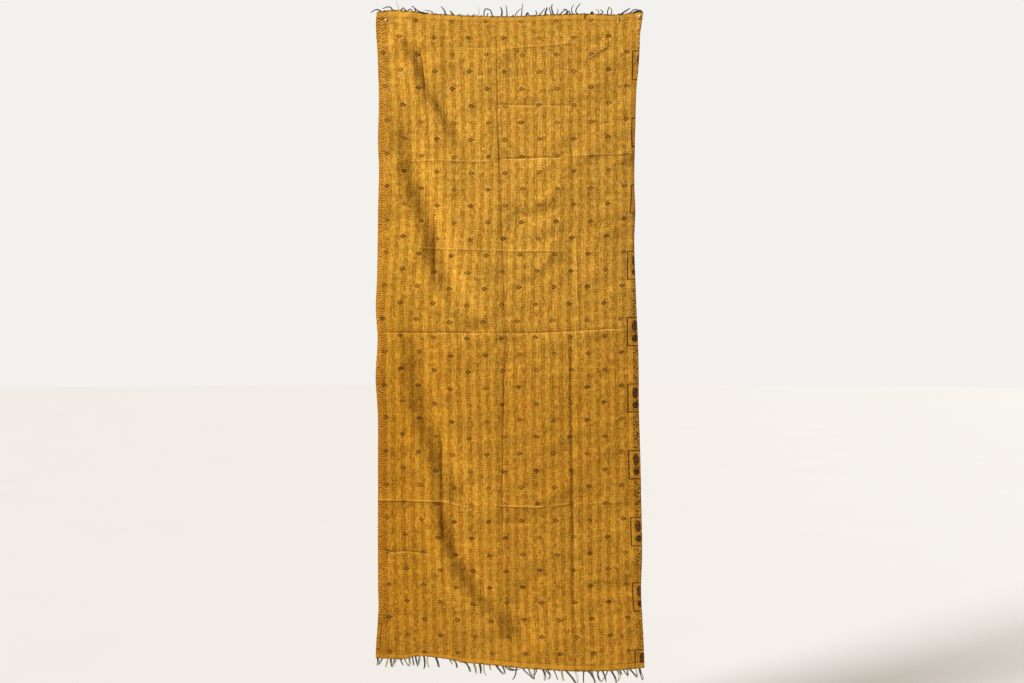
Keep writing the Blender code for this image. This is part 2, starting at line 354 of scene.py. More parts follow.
@dataclass(frozen=True)
class Puckers:
    """Soft unevenness of the quilted cloth, on a lattice with a fixed seed."""

    height: float
    across: float
    down: float
    seed: int
    field_size: tuple[float, float] = (1.2, 2.6)
    field_corner: tuple[float, float] = (-0.6, -0.2)

    def forward(self, x: Array, drop: Array) -> Array:
        """How far the puckers bring the cloth forward.

        Args:
            x: metres right of the middle.
            drop: metres below the top.

        Returns:
            Metres forward.
        """
        chance = np.random.default_rng(self.seed)
        wide, long = self.field_size
        left, upper = self.field_corner
        columns, rows = int(wide / self.across) + 4, int(long / self.down) + 4
        lattice = chance.uniform(-1.0, 1.0, (rows, columns))
        column, row = (x - left) / self.across, (drop - upper) / self.down
        i, j = np.floor(column).astype(int), np.floor(row).astype(int)
        a, b = ease(column - i), ease(row - j)
        upper = lattice[j, i] * (1.0 - a) + lattice[j, i + 1] * a
        lower = lattice[j + 1, i] * (1.0 - a) + lattice[j + 1, i + 1] * a
        return self.height * (upper * (1.0 - b) + lower * b)


LEFT_EDGE = Track((
    (0.000, -0.434), (0.030, -0.437), (0.120, -0.431), (0.300, -0.427), (0.400, -0.430),
    (0.500, -0.427), (0.650, -0.430), (0.850, -0.433), (0.950, -0.437), (1.050, -0.431),
    (1.170, -0.437), (1.310, -0.430), (1.500, -0.430), (1.850, -0.430), (1.930, -0.428),
    (2.060, -0.436), (2.105, -0.437),
))
RIGHT_EDGE = Track((
    (0.000, 0.434), (0.060, 0.424), (0.140, 0.420), (0.250, 0.411), (0.400, 0.407),
    (0.550, 0.405), (0.630, 0.408), (0.720, 0.405), (0.820, 0.407), (0.930, 0.411),
    (1.050, 0.417), (1.280, 0.420), (1.550, 0.427), (1.750, 0.430), (1.880, 0.427),
    (2.050, 0.436), (2.105, 0.438),
))
TOP_EDGE = Track((
    (0.000, 0.0190), (0.055, 0.0240), (0.124, 0.0170), (0.165, 0.0110), (0.200, 0.0080),
    (0.290, 0.0025), (0.435, 0.0000), (0.560, 0.0060), (0.670, 0.0095), (0.780, 0.0080),
    (0.828, 0.0140), (0.870, 0.0200),
))
BOTTOM_EDGE = Track((
    (0.000, -2.0855), (0.095, -2.0875), (0.125, -2.0790), (0.165, -2.0790), (0.240, -2.0875),
    (0.285, -2.0985), (0.400, -2.1085), (0.515, -2.1190), (0.640, -2.1260), (0.740, -2.1265),
    (0.825, -2.1215), (0.870, -2.1180),
))
TOP_PULL = 0.060
BOTTOM_PULL = 0.100

BELLY = Track((
    (0.00, 0.009), (0.15, 0.018), (0.60, 0.028), (1.20, 0.026), (1.80, 0.020), (2.105, 0.012),
))
BELLY_FULLNESS = 0.65
SWAY = 0.0022
SIDE_RIPPLE, SIDE_REACH, SIDE_PITCH = 0.0035, 0.060, 0.270

FOLDS = (
    HangingFold(Way.DOWN, Track((
        (-0.032, -0.424), (0.007, -0.394), (0.069, -0.355), (0.144, -0.310),
        (0.229, -0.277), (0.294, -0.241), (0.360, -0.199), (0.464, -0.143),
    )), FoldSection(0.018, 0.015, 0.60, 0.042, 0.040), fade_in=0.30, fade_out=0.22),
    HangingFold(Way.DOWN, Track((
        (0.229, -0.388), (0.360, -0.362), (0.487, -0.339), (0.594, -0.306),
        (0.700, -0.274), (0.790, -0.250), (0.870, -0.222), (0.960, -0.180),
    )), FoldSection(0.040, 0.030, 0.18, 0.045, 0.052), fade_in=0.50, fade_out=0.16),
    HangingFold(Way.DOWN, Track((
        (0.783, -0.414), (0.940, -0.368), (1.044, -0.339), (1.197, -0.319),
        (1.315, -0.293), (1.396, -0.258), (1.510, -0.212), (1.624, -0.156),
    )), FoldSection(0.036, 0.040, 0.36, 0.044, 0.056), fade_in=0.60, fade_out=0.10),
    HangingFold(Way.DOWN, Track((
        (1.520, -0.248), (1.664, -0.215), (1.755, -0.186), (1.823, -0.147),
        (1.889, -0.101), (1.944, -0.036), (2.045, 0.039),
    )), FoldSection(0.029, 0.022, 0.50, 0.046, 0.046), fade_in=0.22, fade_out=0.12),
    HangingFold(Way.ACROSS, Track((
        (-0.245, 0.945), (-0.185, 0.978), (-0.120, 0.994), (-0.030, 1.002),
    )), FoldSection(0.0190, 0.018, 0.60, 0.034, 0.022)),
    HangingFold(Way.DOWN, Track((
        (1.054, -0.417), (1.103, -0.388), (1.165, -0.346),
    )), FoldSection(0.007, 0.008, 0.50, 0.020, 0.022)),
    HangingFold(Way.DOWN, Track((
        (0.686, -0.121), (0.777, -0.088), (0.836, -0.059), (0.904, -0.029),
    )), FoldSection(0.0038, 0.010, 0.40, 0.030, 0.030)),
    HangingFold(Way.ACROSS, Track((
        (-0.091, 0.816), (-0.039, 0.858), (0.020, 0.868), (0.085, 0.842),
        (0.137, 0.783), (0.183, 0.712),
    )), FoldSection(0.0060, 0.012, 0.60, 0.024, 0.032)),
    HangingFold(Way.ACROSS, Track((
        (-0.026, 0.637), (0.039, 0.646), (0.098, 0.633), (0.150, 0.588), (0.215, 0.516),
    )), FoldSection(0.0052, 0.012, 0.60, 0.022, 0.028)),
    HangingFold(Way.ACROSS, Track((
        (0.241, 0.148), (0.293, 0.115), (0.339, 0.082),
    )), FoldSection(0.0075, 0.006, 0.50, 0.018, 0.016), fade_in=0.30, fade_out=0.30),
)
STORAGE_CREASES = (
    StorageCrease(0.249, FoldSection(0.0022, 0.007, 0.5, 0.060, 0.100), 0.00, 0.22),
    StorageCrease(0.485, FoldSection(0.0026, 0.008, 0.5, 0.060, 0.100), 0.00, 1.00),
    StorageCrease(0.742, FoldSection(0.0018, 0.008, 0.5, 0.060, 0.100), 0.15, 1.00),
)
PRESSED_CREASES = (
    PressedCrease(Way.DOWN, 0.215, Track((
        (0.118, -0.287), (0.252, -0.274), (0.480, -0.254), (0.600, -0.248), (0.815, -0.243),
        (1.020, -0.238), (1.180, -0.233), (1.335, -0.232), (1.380, -0.222), (1.700, -0.217),
        (1.980, -0.214),
    )), Track((
        (0.085, 0.0), (0.125, 0.0026), (0.245, 0.0024), (0.300, 0.0010), (0.480, 0.0012),
        (0.560, 0.0006), (0.640, 0.0016), (0.820, 0.0018), (0.900, 0.0005), (1.000, 0.0012),
        (1.060, 0.0006), (1.180, 0.0012), (1.340, 0.0010), (1.400, 0.0018), (1.560, 0.0020),
        (1.700, 0.0014), (1.900, 0.0003), (1.980, 0.0),
    )), 0.0080, 0.0090),
    PressedCrease(Way.DOWN, 0.475, Track((
        (0.020, -0.046), (0.105, -0.042), (0.333, -0.039), (0.500, -0.032), (0.725, -0.023),
        (0.900, -0.019), (1.050, -0.013), (1.250, -0.020), (1.520, -0.023), (2.090, -0.020),
    )), Track((
        (0.020, 0.0), (0.080, 0.0015), (0.480, 0.0018), (0.560, 0.0009), (0.760, 0.0014),
        (0.960, 0.0005), (1.040, -0.0007), (1.120, 0.0010), (1.230, 0.0017), (1.560, 0.0018),
        (1.700, 0.0009), (1.900, 0.0008), (2.050, 0.0004), (2.090, 0.0),
    ))),
    PressedCrease(Way.DOWN, 0.735, Track((
        (0.250, 0.190), (0.480, 0.204), (0.750, 0.2135), (1.018, 0.2235), (1.045, 0.199),
        (1.200, 0.1975), (1.600, 0.204), (2.090, 0.206),
    )), Track((
        (0.250, 0.0), (0.350, 0.0004), (0.480, 0.0009), (0.700, -0.0005), (0.780, -0.0011),
        (1.010, -0.0012), (1.030, 0.0), (1.100, 0.0016), (1.250, 0.0013), (1.600, 0.0016),
        (1.750, 0.0012), (1.920, 0.0010), (2.000, 0.0004), (2.090, 0.0),
    ))),
    PressedCrease(Way.ACROSS, 0.046, Track((
        (-0.430, 0.098), (-0.267, 0.100), (-0.072, 0.102), (-0.039, 0.109), (0.196, 0.089),
        (0.430, 0.080),
    )), Track((
        (-0.290, 0.0), (-0.260, 0.0010), (-0.080, 0.0010), (-0.050, -0.0008), (0.190, -0.0014),
        (0.220, 0.0),
    ))),
    PressedCrease(Way.ACROSS, 0.137, Track((
        (-0.430, 0.288), (-0.033, 0.288), (0.196, 0.291), (0.430, 0.290),
    )), Track(((-0.060, 0.0), (-0.030, 0.0015), (0.190, 0.0014), (0.210, 0.0)))),
    PressedCrease(Way.ACROSS, 0.219, Track((
        (-0.430, 0.465), (-0.248, 0.469), (-0.059, 0.475), (-0.025, 0.463), (0.150, 0.461),
        (0.190, 0.455), (0.401, 0.444), (0.430, 0.443),
    )), Track((
        (-0.370, 0.0), (-0.345, -0.0008), (-0.245, -0.0013), (-0.070, -0.0013),
        (-0.045, -0.0002), (-0.010, 0.0022), (0.150, 0.0020), (0.172, 0.0002),
        (0.195, -0.0012), (0.395, -0.0013), (0.420, 0.0),
    ))),
    PressedCrease(Way.ACROSS, 0.361, Track((
        (-0.430, 0.752), (-0.261, 0.754), (-0.065, 0.761), (0.111, 0.764), (0.183, 0.761),
        (0.430, 0.758),
    )), Track((
        (-0.305, 0.0), (-0.280, -0.0012), (-0.070, -0.0013), (-0.020, -0.0016),
        (0.110, -0.0016), (0.150, -0.0005), (0.200, 0.0),
    ))),
    PressedCrease(Way.ACROSS, 0.488, Track((
        (-0.430, 1.027), (-0.150, 1.028), (-0.033, 1.029), (0.100, 1.028), (0.163, 1.0246),
        (0.346, 1.014), (0.430, 1.008),
    )), Track((
        (-0.425, 0.0), (-0.395, 0.0018), (-0.150, 0.0020), (-0.040, 0.0014), (0.100, 0.0020),
        (0.340, 0.0018), (0.400, 0.0006), (0.430, 0.0),
    )), 0.0090, 0.0070),
    PressedCrease(Way.ACROSS, 0.753, Track((
        (-0.440, 1.571), (-0.235, 1.574), (-0.212, 1.577), (-0.143, 1.595), (-0.115, 1.586),
        (-0.046, 1.585), (-0.020, 1.590), (0.098, 1.592), (0.150, 1.587), (0.196, 1.584),
        (0.430, 1.575),
    )), Track((
        (-0.440, -0.0020), (-0.250, -0.0030), (-0.225, -0.0018), (-0.200, -0.0024),
        (-0.150, -0.0020), (-0.125, -0.0008), (-0.050, -0.0006), (-0.025, -0.0018),
        (0.010, -0.0030), (0.095, -0.0026), (0.118, -0.0010), (0.150, -0.0018),
        (0.185, -0.0016), (0.210, -0.0009), (0.410, -0.0009), (0.430, 0.0),
    )), 0.0060, 0.0110),
    PressedCrease(Way.ACROSS, 0.827, Track((
        (-0.430, 1.732), (-0.380, 1.740), (-0.330, 1.737), (-0.250, 1.745), (0.430, 1.742),
    )), Track((
        (-0.435, 0.0), (-0.410, 0.0016), (-0.280, 0.0020), (-0.235, 0.0), (-0.060, 0.0),
        (-0.020, 0.0004), (0.060, 0.0),
    ))),
)
SOFT_TROUGHS = (
    SoftTrough(-0.404, 0.010, -0.316, -0.008, -0.0030, 0.006),
    SoftTrough(0.016, 0.643, 0.098, 0.647, 0.0013, 0.007),
    SoftTrough(-0.007, 0.802, 0.070, 0.812, -0.0016, 0.013),
    SoftTrough(0.020, 0.868, 0.090, 0.858, 0.0015, 0.009),
    SoftTrough(-0.016, 1.061, 0.088, 1.063, 0.0010, 0.004),
    SoftTrough(-0.150, 1.771, -0.020, 1.771, -0.0012, 0.009),
    SoftTrough(-0.020, 1.168, 0.189, 1.168, -0.0010, 0.009),
    SoftTrough(-0.235, 1.162, -0.033, 1.158, 0.0010, 0.008),
    SoftTrough(-0.007, 1.328, 0.114, 1.321, -0.0010, 0.009),
    SoftTrough(0.202, 1.367, 0.404, 1.380, 0.0010, 0.010),
    SoftTrough(-0.205, 1.566, -0.150, 1.580, 0.0022, 0.009),
    SoftTrough(-0.320, 0.520, -0.090, 0.528, -0.0010, 0.006),
    SoftTrough(-0.012, 0.262, 0.130, 0.268, -0.0016, 0.007),
)
PUCKERS = (Puckers(0.0034, 0.080, 0.042, 5), Puckers(0.0016, 0.042, 0.019, 9))
WANDER = Puckers(0.005, 0.070, 0.055, 14)
UNEVEN = Puckers(0.18, 0.090, 0.090, 17)

PIN_PLACES = {"left_pin": (-0.4045, 0.008), "right_pin": (0.4215, -0.005)}
PIN_HOLD = 0.020
PIN_EASE = 0.075


@dataclass(frozen=True)
class HangingForm:
    """The form in which the throw hangs, by fractions u across and v down."""

    hem: float = 0.0155
    hem_fullness: float = 0.0005
    hem_edge: float = 0.0012
    hem_line: float = 0.0016
    difference: float = 2.0e-4
    wall_ease: float = 0.004

    def outline(self, u: Array, v: Array) -> tuple[Array, Array]:
        """Place on the sheet seen face on, as x and z.

        Args:
            u: fractions across.
            v: fractions down.

        Returns:
            The two places.
        """
        drop = v * LENGTH
        left, right = LEFT_EDGE.at(drop), RIGHT_EDGE.at(drop)
        top = TOP_EDGE.at(u * WIDTH)
        bottom = BOTTOM_EDGE.at(u * WIDTH) + LENGTH
        z = -drop + top * np.exp(-drop / TOP_PULL)
        z = z + bottom * np.exp((drop - LENGTH) / BOTTOM_PULL)
        return left + (right - left) * u, z

    def pin_weight(self, x: Array, z: Array) -> Array:
        """0 where a pin holds the cloth to the wall, rising to 1 away from the pins.

        Args:
            x: metres right of the middle.
            z: metres above the top.

        Returns:
            The weight.
        """
        weight = np.ones_like(x)
        for pin_x, pin_drop in PIN_PLACES.values():
            reach = np.hypot(x - pin_x, z + pin_drop)
            weight = weight * ease((reach - PIN_HOLD) / PIN_EASE)
        return weight

    def hem_rise(self, v: Array) -> Array:
        """How much the turned hems at head and foot thicken the cloth.

        Args:
            v: fractions down.

        Returns:
            Metres forward.
        """
        to_end = np.minimum(v, 1.0 - v) * LENGTH
        fold = self.hem_fullness * rise(self.hem - to_end, self.hem_edge)
        seam = self.hem_fullness * np.exp(-(((to_end - self.hem) / self.hem_line) ** 2))
        return fold - seam

    def forward(self, u: Array, v: Array) -> Array:
        """Distance of the printed face from the wall.

        Args:
            u: fractions across.
            v: fractions down.

        Returns:
            The distance in metres.
        """
        x, z = self.outline(u, v)
        drop = -z
        belly = BELLY.at(v * LENGTH) * np.maximum(np.sin(np.pi * u), 0.0) ** BELLY_FULLNESS
        sway = SWAY * np.sin(9.0 * u + 4.4 * v) * np.sin(-3.0 * u + 12.0 * v + 0.7)
        side = np.minimum(u, 1.0 - u) * WIDTH / SIDE_REACH
        ripple = SIDE_RIPPLE * np.exp(-side) * np.sin(math.tau * v * LENGTH / SIDE_PITCH)
        soft = STAND_OFF + belly + sway + ripple
        wander, uneven = WANDER.forward(x, drop), 1.0 + UNEVEN.forward(x, drop)
        for fold in FOLDS:
            soft = soft + uneven * fold.forward(x + wander, drop + wander)
        for crease in (*PRESSED_CREASES, *SOFT_TROUGHS, *PUCKERS):
            soft = soft + crease.forward(x, drop)
        for crease in STORAGE_CREASES:
            soft = soft + crease.forward(u, v)
        soft = 0.5 * (soft + np.sqrt(soft * soft + self.wall_ease ** 2))
        held = self.pin_weight(x, z) * soft
        return WALL_GAP + THICKNESS + held + self.hem_rise(v)

    def crease_light(self, x: Array, drop: Array) -> Array:
        """How far the cloth gets painted highlight, or painted shade, along its pressed creases."""
        return sum(crease.crease_light(x, drop) for crease in PRESSED_CREASES)

    def front(self, u: Array, v: Array) -> Array:
        """Points of the printed face."""
        x, z = self.outline(u, v)
        return np.stack((x, -self.forward(u, v), z), axis=-1)

    def grain(self, u: Array, v: Array) -> tuple[Array, Array]:
        """Directions down the cloth and out of its printed face.

        Args:
            u: fractions across.
            v: fractions down.

        Returns:
            The two unit directions.
        """
        step = self.difference
        down = self.front(u, v + step) - self.front(u, v - step)
        across = self.front(u + step, v) - self.front(u - step, v)
        out = np.cross(down, across)
        down = down / np.linalg.norm(down, axis=-1, keepdims=True)
        out = out / np.linalg.norm(out, axis=-1, keepdims=True)
        return down, np.where(out[..., 1:2] > 0.0, -out, out)


@dataclass(frozen=True)
class Drift:
    """How far the pull of the folds moves the print, as a small table.

    Args:
        places: metres right of the middle, one for each column of the table.
        rows: pairs of metres below the top and the millimetres moved at each place.
    """

    places: tuple[float, ...]
    rows: tuple[tuple[float, tuple[int, ...]], ...]

    def at(self, x: Array, drop: Array) -> Array:
        """Metres moved at places on the cloth.

        Args:
            x: metres right of the middle.
            drop: metres below the top.

        Returns:
            The moves.
        """
        drops = np.array([row[0] for row in self.rows])
        moved = np.array([np.interp(x, self.places, row[1]) for row in self.rows])
        index = np.clip(np.searchsorted(drops, drop) - 1, 0, len(drops) - 2)
        share = ease((drop - drops[index]) / (drops[index + 1] - drops[index]))
        here = np.arange(len(x))
        return (moved[index, here] * (1.0 - share) + moved[index + 1, here] * share) / 1000.0


DRIFT_PLACES = (-0.410, -0.300, -0.190, -0.080, 0.037, 0.147, 0.263, 0.373)


@dataclass(frozen=True)
class PrintPlan:
    """Where the block print lies on the cloth, by x and by metres below the top."""

    rows: Track = Track((
        (0.0075, 0.0), (0.4499, 8.0), (0.8779, 16.0), (1.3105, 24.0), (1.7483, 32.0),
        (1.9048, 35.0), (2.0680, 38.05),
    ))
    pitch: Track = Track((
        (0.0075, 0.11443), (0.2846, 0.11410), (0.6595, 0.11247), (1.0181, 0.10986),
        (1.4745, 0.10823), (1.7027, 0.10888), (1.8983, 0.10954),
    ))
    middle: Track = Track((
        (0.0629, -0.02119), (0.7000, -0.02150), (1.4745, -0.02184), (1.6929, -0.01532),
        (2.1000, -0.01532),
    ))
    block_line: Track = Track((
        (0.109, 0.3990), (0.328, 0.3960), (0.547, 0.3960), (0.762, 0.3830), (0.979, 0.3815),
        (1.195, 0.3830), (1.413, 0.3850), (1.629, 0.3920), (1.848, 0.3980), (2.061, 0.4070),
    ))
    stripes: Track = Track(((-0.4340, -13.36), (-0.1130, -3.0), (-0.0245, 0.0), (0.4325, 15.49)))
    sideways: Drift = Drift(DRIFT_PLACES, (
        (0.06, (3, 3, 2, 0, -2, -2, -1, 0)), (0.12, (8, 6, 3, 2, 1, 0, -2, 0)),
        (0.34, (20, 18, 9, 8, 3, 3, 0, -3)), (0.55, (18, 16, 9, 8, 3, 3, 1, -2)),
        (0.66, (14, 14, 7, 6, 3, 3, 2, 0)), (0.77, (7, 8, -1, 0, -4, -3, -5, -3)),
        (0.88, (0, -2, -9, -6, -5, -3, -5, -3)), (0.99, (-8, -8, -13, -10, -10, -9, -5, -3)),
        (1.09, (-3, -2, -5, -2, -3, 0, 1, 2)), (1.20, (-4, -4, -9, -4, -5, -2, 1, 3)),
        (1.31, (0, -1, -4, 0, -1, 0, 0, 4)), (1.42, (-3, -3, -5, 1, -3, 0, 1, 5)),
        (1.53, (-2, 0, 0, 4, 1, 2, 4, 6)), (1.64, (-2, 1, 0, 3, 1, 2, 3, 7)),
        (1.85, (4, 7, 6, 5, 2, 5, 4, 8)), (2.065, (9, 11, 11, 11, 11, 13, 12, 16)),
    ))
    sag: Drift = Drift(DRIFT_PLACES, (
        (0.12, (-2, 4, 6, 8, 8, 7, 3, -5)), (0.34, (-3, 4, 9, 9, 8, 6, 3, -7)),
        (0.50, (-6, -2, 8, 8, 5, 3, 0, -8)), (0.77, (-5, -1, 8, 8, 5, 3, 0, -6)),
        (0.99, (-5, -5, 7, 7, 3, 2, 0, -6)), (1.20, (-7, -5, 7, 5, 1, 1, 0, -6)),
        (1.42, (-11, -7, 4, 3, -2, -1, -2, -7)), (1.64, (-11, -10, 1, 2, -3, -2, -4, -9)),
        (1.85, (-10, -8, -4, 5, -3, -2, -5, -9)), (2.065, (-3, 0, 2, 4, 4, 6, 3, -4)),
    ))

    def lattice(self, x: Array, drop: Array) -> tuple[Array, Array]:
        """Column and row of the motif lattice."""
        column = (x - self.sideways.at(x, drop) - self.middle.at(drop)) / self.pitch.at(drop)
        return column, self.rows.line(drop - self.sag.at(x, drop))

    def border(self, x: Array, drop: Array) -> tuple[Array, Array]:
        """Metres right of the block border's line, and the number of the stripe."""
        return x - self.block_line.at(drop), self.stripes.line(x - self.sideways.at(x, drop))


# ---- node helpers ----


def linear(red: int, green: int, blue: int) -> tuple[float, float, float, float]:
    """Colour of a surface from the 0 to 255 values in which it is matched.

    Args:
        red: red value.
        green: green value.
        blue: blue value.

    Returns:
        The colour as the shader takes it, with an alpha of 1.
    """
    parts = []
    for part in (red, green, blue):
        share = part / 255.0
        parts.append(share / 12.92 if share <= 0.04045 else ((share + 0.055) / 1.055) ** 2.4)
    return (*parts, 1.0)


class Wiring:
    """Short calls that wire the nodes of one tree."""

    def __init__(self, tree: bpy.types.NodeTree) -> None:
        """Keep the node tree to add to."""
        self.tree = tree

    def node(self, kind: str, **settings: object) -> bpy.types.Node:
        """Add a node with its settings.

        Args:
            kind: the node's type.
            settings: its properties by name.

        Returns:
            The node.
        """
        made = self.tree.nodes.new(kind)
        for name, value in settings.items():
            setattr(made, name, value)
        return made

    def feed(self, socket: Socket, value: object) -> None:
        """Give an input a socket to read or a constant.

        Args:
            socket: the input.
            value: the socket or constant.
        """
        if isinstance(value, Socket):
            self.tree.links.new(value, socket)
        else:
            socket.default_value = value

    def math(self, operation: str, *values: object) -> Socket:
        """Result of a Math node.

        Args:
            operation: what it does.
            values: its inputs in order.

        Returns:
            Its output.
        """
        made = self.node("ShaderNodeMath", operation=operation)
        for socket, value in zip(made.inputs, values):
            self.feed(socket, value)
        return made.outputs[0]

    def fold(self, operation: str, values: tuple[object, ...]) -> Socket:
        """Result of one operation over several values.

        Args:
            operation: what the Math nodes do.
            values: the values, taken in order.

        Returns:
            The last node's output.
        """
        result = values[0]
        for value in values[1:]:
            result = self.math(operation, result, value)
        return result

    def total(self, *values: object) -> Socket:
        """Sum of several values."""
        return self.fold("ADD", values)

    def product(self, *values: object) -> Socket:
        """Product of several values."""
        return self.fold("MULTIPLY", values)

    def most(self, *values: object) -> Socket:
        """Greatest of several values."""
        return self.fold("MAXIMUM", values)

    def smooth(self, value: Socket, start: float, end: float) -> Socket:
        """Smooth step that is 0 at start and 1 at end, either of them first.

        Args:
            value: the value to step.
            start: where the step is 0.
            end: where it is 1.

        Returns:
            The step.
        """
        made = self.node("ShaderNodeMapRange", interpolation_type="SMOOTHSTEP")
        self.feed(made.inputs["Value"], value)
        made.inputs["From Min"].default_value = start
        made.inputs["From Max"].default_value = end
        return made.outputs["Result"]

    def near(self, value: Socket, place: float, half_width: float, soft: float) -> Socket:
        """1 within a half width of a place, falling to 0 over a soft edge."""
        distance = self.math("ABSOLUTE", self.math("SUBTRACT", value, place))
        return self.smooth(distance, half_width + soft, half_width)

    def between(self, value: Socket, low: float, high: float, soft: float) -> Socket:
        """1 between two places, with soft edges."""
        return self.near(value, (low + high) / 2.0, (high - low) / 2.0, soft)

    def blend(self, share: object, first: object, second: object, mode: str = "MIX") -> Socket:
        """Two colours mixed by a share.

        Args:
            share: 0 for the first to 1 for the second.
            first: the first colour.
            second: the second colour.
            mode: how they are mixed.

        Returns:
            The colour.
        """
        made = self.node("ShaderNodeMix", data_type="RGBA", blend_type=mode)
        self.feed(made.inputs[0], share)
        self.feed(made.inputs[6], first)
        self.feed(made.inputs[7], second)
        return made.outputs[2]

    def over(self, colour: object, tone: object, *masks: object) -> Socket:
        """A tone laid over a colour through the product of its masks."""
        return self.blend(self.product(*masks), colour, tone)

    def shade(self, colour: object, factor: Socket) -> Socket:
        """A colour made darker or lighter by a factor."""
        return self.blend(1.0, colour, self.join(factor, factor, factor), "MULTIPLY")

    def tint(self, colour: Socket, tone: object, share: Socket) -> Socket:
        """A colour multiplied by a tone, as far as a share says."""
        return self.blend(share, colour, self.blend(1.0, colour, tone, "MULTIPLY"))

    def noise(self, place: Socket, scale: float, detail: float = 2.0,
              across: float = 1.0, down: float = 1.0) -> Socket:
        """Noise around 0.5.

        Args:
            place: the coordinates that it reads.
            scale: cells per metre.
            detail: how finely each cell is broken up.
            across: factor on the first coordinate, less than 1 for wide cells.
            down: factor on the second coordinate, less than 1 for long cells.

        Returns:
            The noise.
        """
        made = self.node("ShaderNodeTexNoise")
        if (across, down) != (1.0, 1.0):
            place = self.stretch(place, (across, down, 1.0))
        self.feed(made.inputs["Vector"], place)
        made.inputs["Scale"].default_value = scale
        made.inputs["Detail"].default_value = detail
        return made.outputs["Fac"]

    def patches(self, place: Socket, scale: float, detail: float, low: float, high: float,
                **stretch: float) -> Socket:
        """Noise made into patches, 0 at its low value and 1 at its high one."""
        return self.smooth(self.noise(place, scale, detail, **stretch), low, high)

    def stretch(self, place: Socket, scale: tuple[float, float, float]) -> Socket:
        """Coordinates stretched by a factor along each axis.

        Args:
            place: the coordinates.
            scale: the three factors.

        Returns:
            The new coordinates.
        """
        made = self.node("ShaderNodeMapping")
        self.feed(made.inputs["Vector"], place)
        made.inputs["Scale"].default_value = scale
        return made.outputs["Vector"]

    def parts(self, vector: Socket) -> tuple[Socket, Socket, Socket]:
        """The three parts of a vector or colour.

        Args:
            vector: the vector or colour.

        Returns:
            Its parts.
        """
        made = self.node("ShaderNodeSeparateXYZ")
        self.feed(made.inputs[0], vector)
        return made.outputs[0], made.outputs[1], made.outputs[2]

    def join(self, x: object, y: object, z: object = 0.0) -> Socket:
        """Vector from three parts.

        Args:
            x: first part.
            y: second part.
            z: third part.

        Returns:
            The vector.
        """
        made = self.node("ShaderNodeCombineXYZ")
        for socket, value in zip(made.inputs, (x, y, z)):
            self.feed(socket, value)
        return made.outputs[0]

    def map(self, name: str) -> Socket:
        """Coordinates of one of the piece's own maps."""
        return self.node("ShaderNodeUVMap", uv_map=name).outputs["UV"]

    def place(self) -> Socket:
        """Object coordinates."""
        return self.node("ShaderNodeTexCoord").outputs["Object"]

    def bump(self, height: Socket) -> Socket:
        """Normal from a height in metres.

        Args:
            height: the height.

        Returns:
            The normal.
        """
        made = self.node("ShaderNodeBump")
        made.inputs["Strength"].default_value = 1.0
        made.inputs["Distance"].default_value = 1.0
        self.feed(made.inputs["Height"], height)
        return made.outputs["Normal"]


@dataclass(frozen=True)
class Finish:
    """What every finish has in common: its name, its gloss and how it is made."""

    name: str = "finish"
    roughness: float = 0.9
    sheen: float = 0.0
    sheen_roughness: float = 0.5
    specular: float = 0.5

    def build(self) -> bpy.types.Material:
        """Make the material.

        Returns:
            The material.
        """
        material = bpy.data.materials.new(self.name)
        material.use_nodes = True
        shader = material.node_tree.nodes["Principled BSDF"]
        for socket, value in (("Roughness", self.roughness), ("Sheen Weight", self.sheen),
                              ("Sheen Roughness", self.sheen_roughness),
                              ("Specular IOR Level", self.specular)):
            shader.inputs[socket].default_value = value
        wire = Wiring(material.node_tree)
        for socket, value in self.dress(wire).items():
            wire.feed(shader.inputs[socket], value)
        return material

    def dress(self, wire: Wiring) -> dict[str, Socket]:
        """Wire this finish and return what the shader's sockets read."""
        return {}


# ---- finishes ----


class Maps:
    """The cloth's own maps, as its finishes read them."""

    def __init__(self, wire: Wiring) -> None:
        """Add the maps to the tree and take them apart.

        Args:
            wire: the tree to wire in.
        """
        self.cloth = wire.map("cloth")
        self.across, self.down, _ = wire.parts(self.cloth)
        self.column, self.row, _ = wire.parts(wire.map("print"))
        self.right, self.stripe, _ = wire.parts(wire.map("border"))


@dataclass(frozen=True)
class Weave:
    """Fine plain weave and the pull of the quilting rows, as a height in metres."""

    thread: float = 0.0011
    weft_share: float = 1.2
    thread_height: float = 0.00007
    row_pitch: float = 0.0099
    row_height: float = 0.00020
    uneven_cells: float = 70.0
    crumple_cells: float = 55.0
    crumple_height: float = 0.0011
    ripple: float = 0.0085
    ripple_cells: float = 50.0
    ripple_turn: float = 14.0
    ripple_height: float = 0.00030

    def height(self, wire: Wiring, maps: Maps) -> Socket:
        """Height of the weave, the stitch rows and the fine crumple.

        Args:
            wire: the tree to wire in.
            maps: the cloth's maps.

        Returns:
            The height in metres.
        """
        warp = wire.math("SINE", wire.product(maps.across, math.tau / self.thread))
        weft = wire.math("SINE", wire.product(
            maps.down, math.tau / (self.thread * self.weft_share)))
        threads = wire.product(warp, weft, self.thread_height)
        rows = wire.math("COSINE", wire.product(maps.across, math.tau / self.row_pitch))
        place = wire.join(maps.across, maps.down)
        uneven = wire.noise(place, self.uneven_cells, 2.0, down=0.35)
        pulls = wire.product(rows, uneven, self.row_height)
        crumple = wire.product(wire.noise(place, self.crumple_cells, 4.0), self.crumple_height)
        beat = wire.total(
            wire.product(maps.down, math.tau / self.ripple),
            wire.product(wire.noise(place, self.ripple_cells, 2.0), self.ripple_turn))
        ripples = wire.product(wire.math("SINE", beat), uneven, self.ripple_height)
        return wire.total(threads, pulls, crumple, ripples)


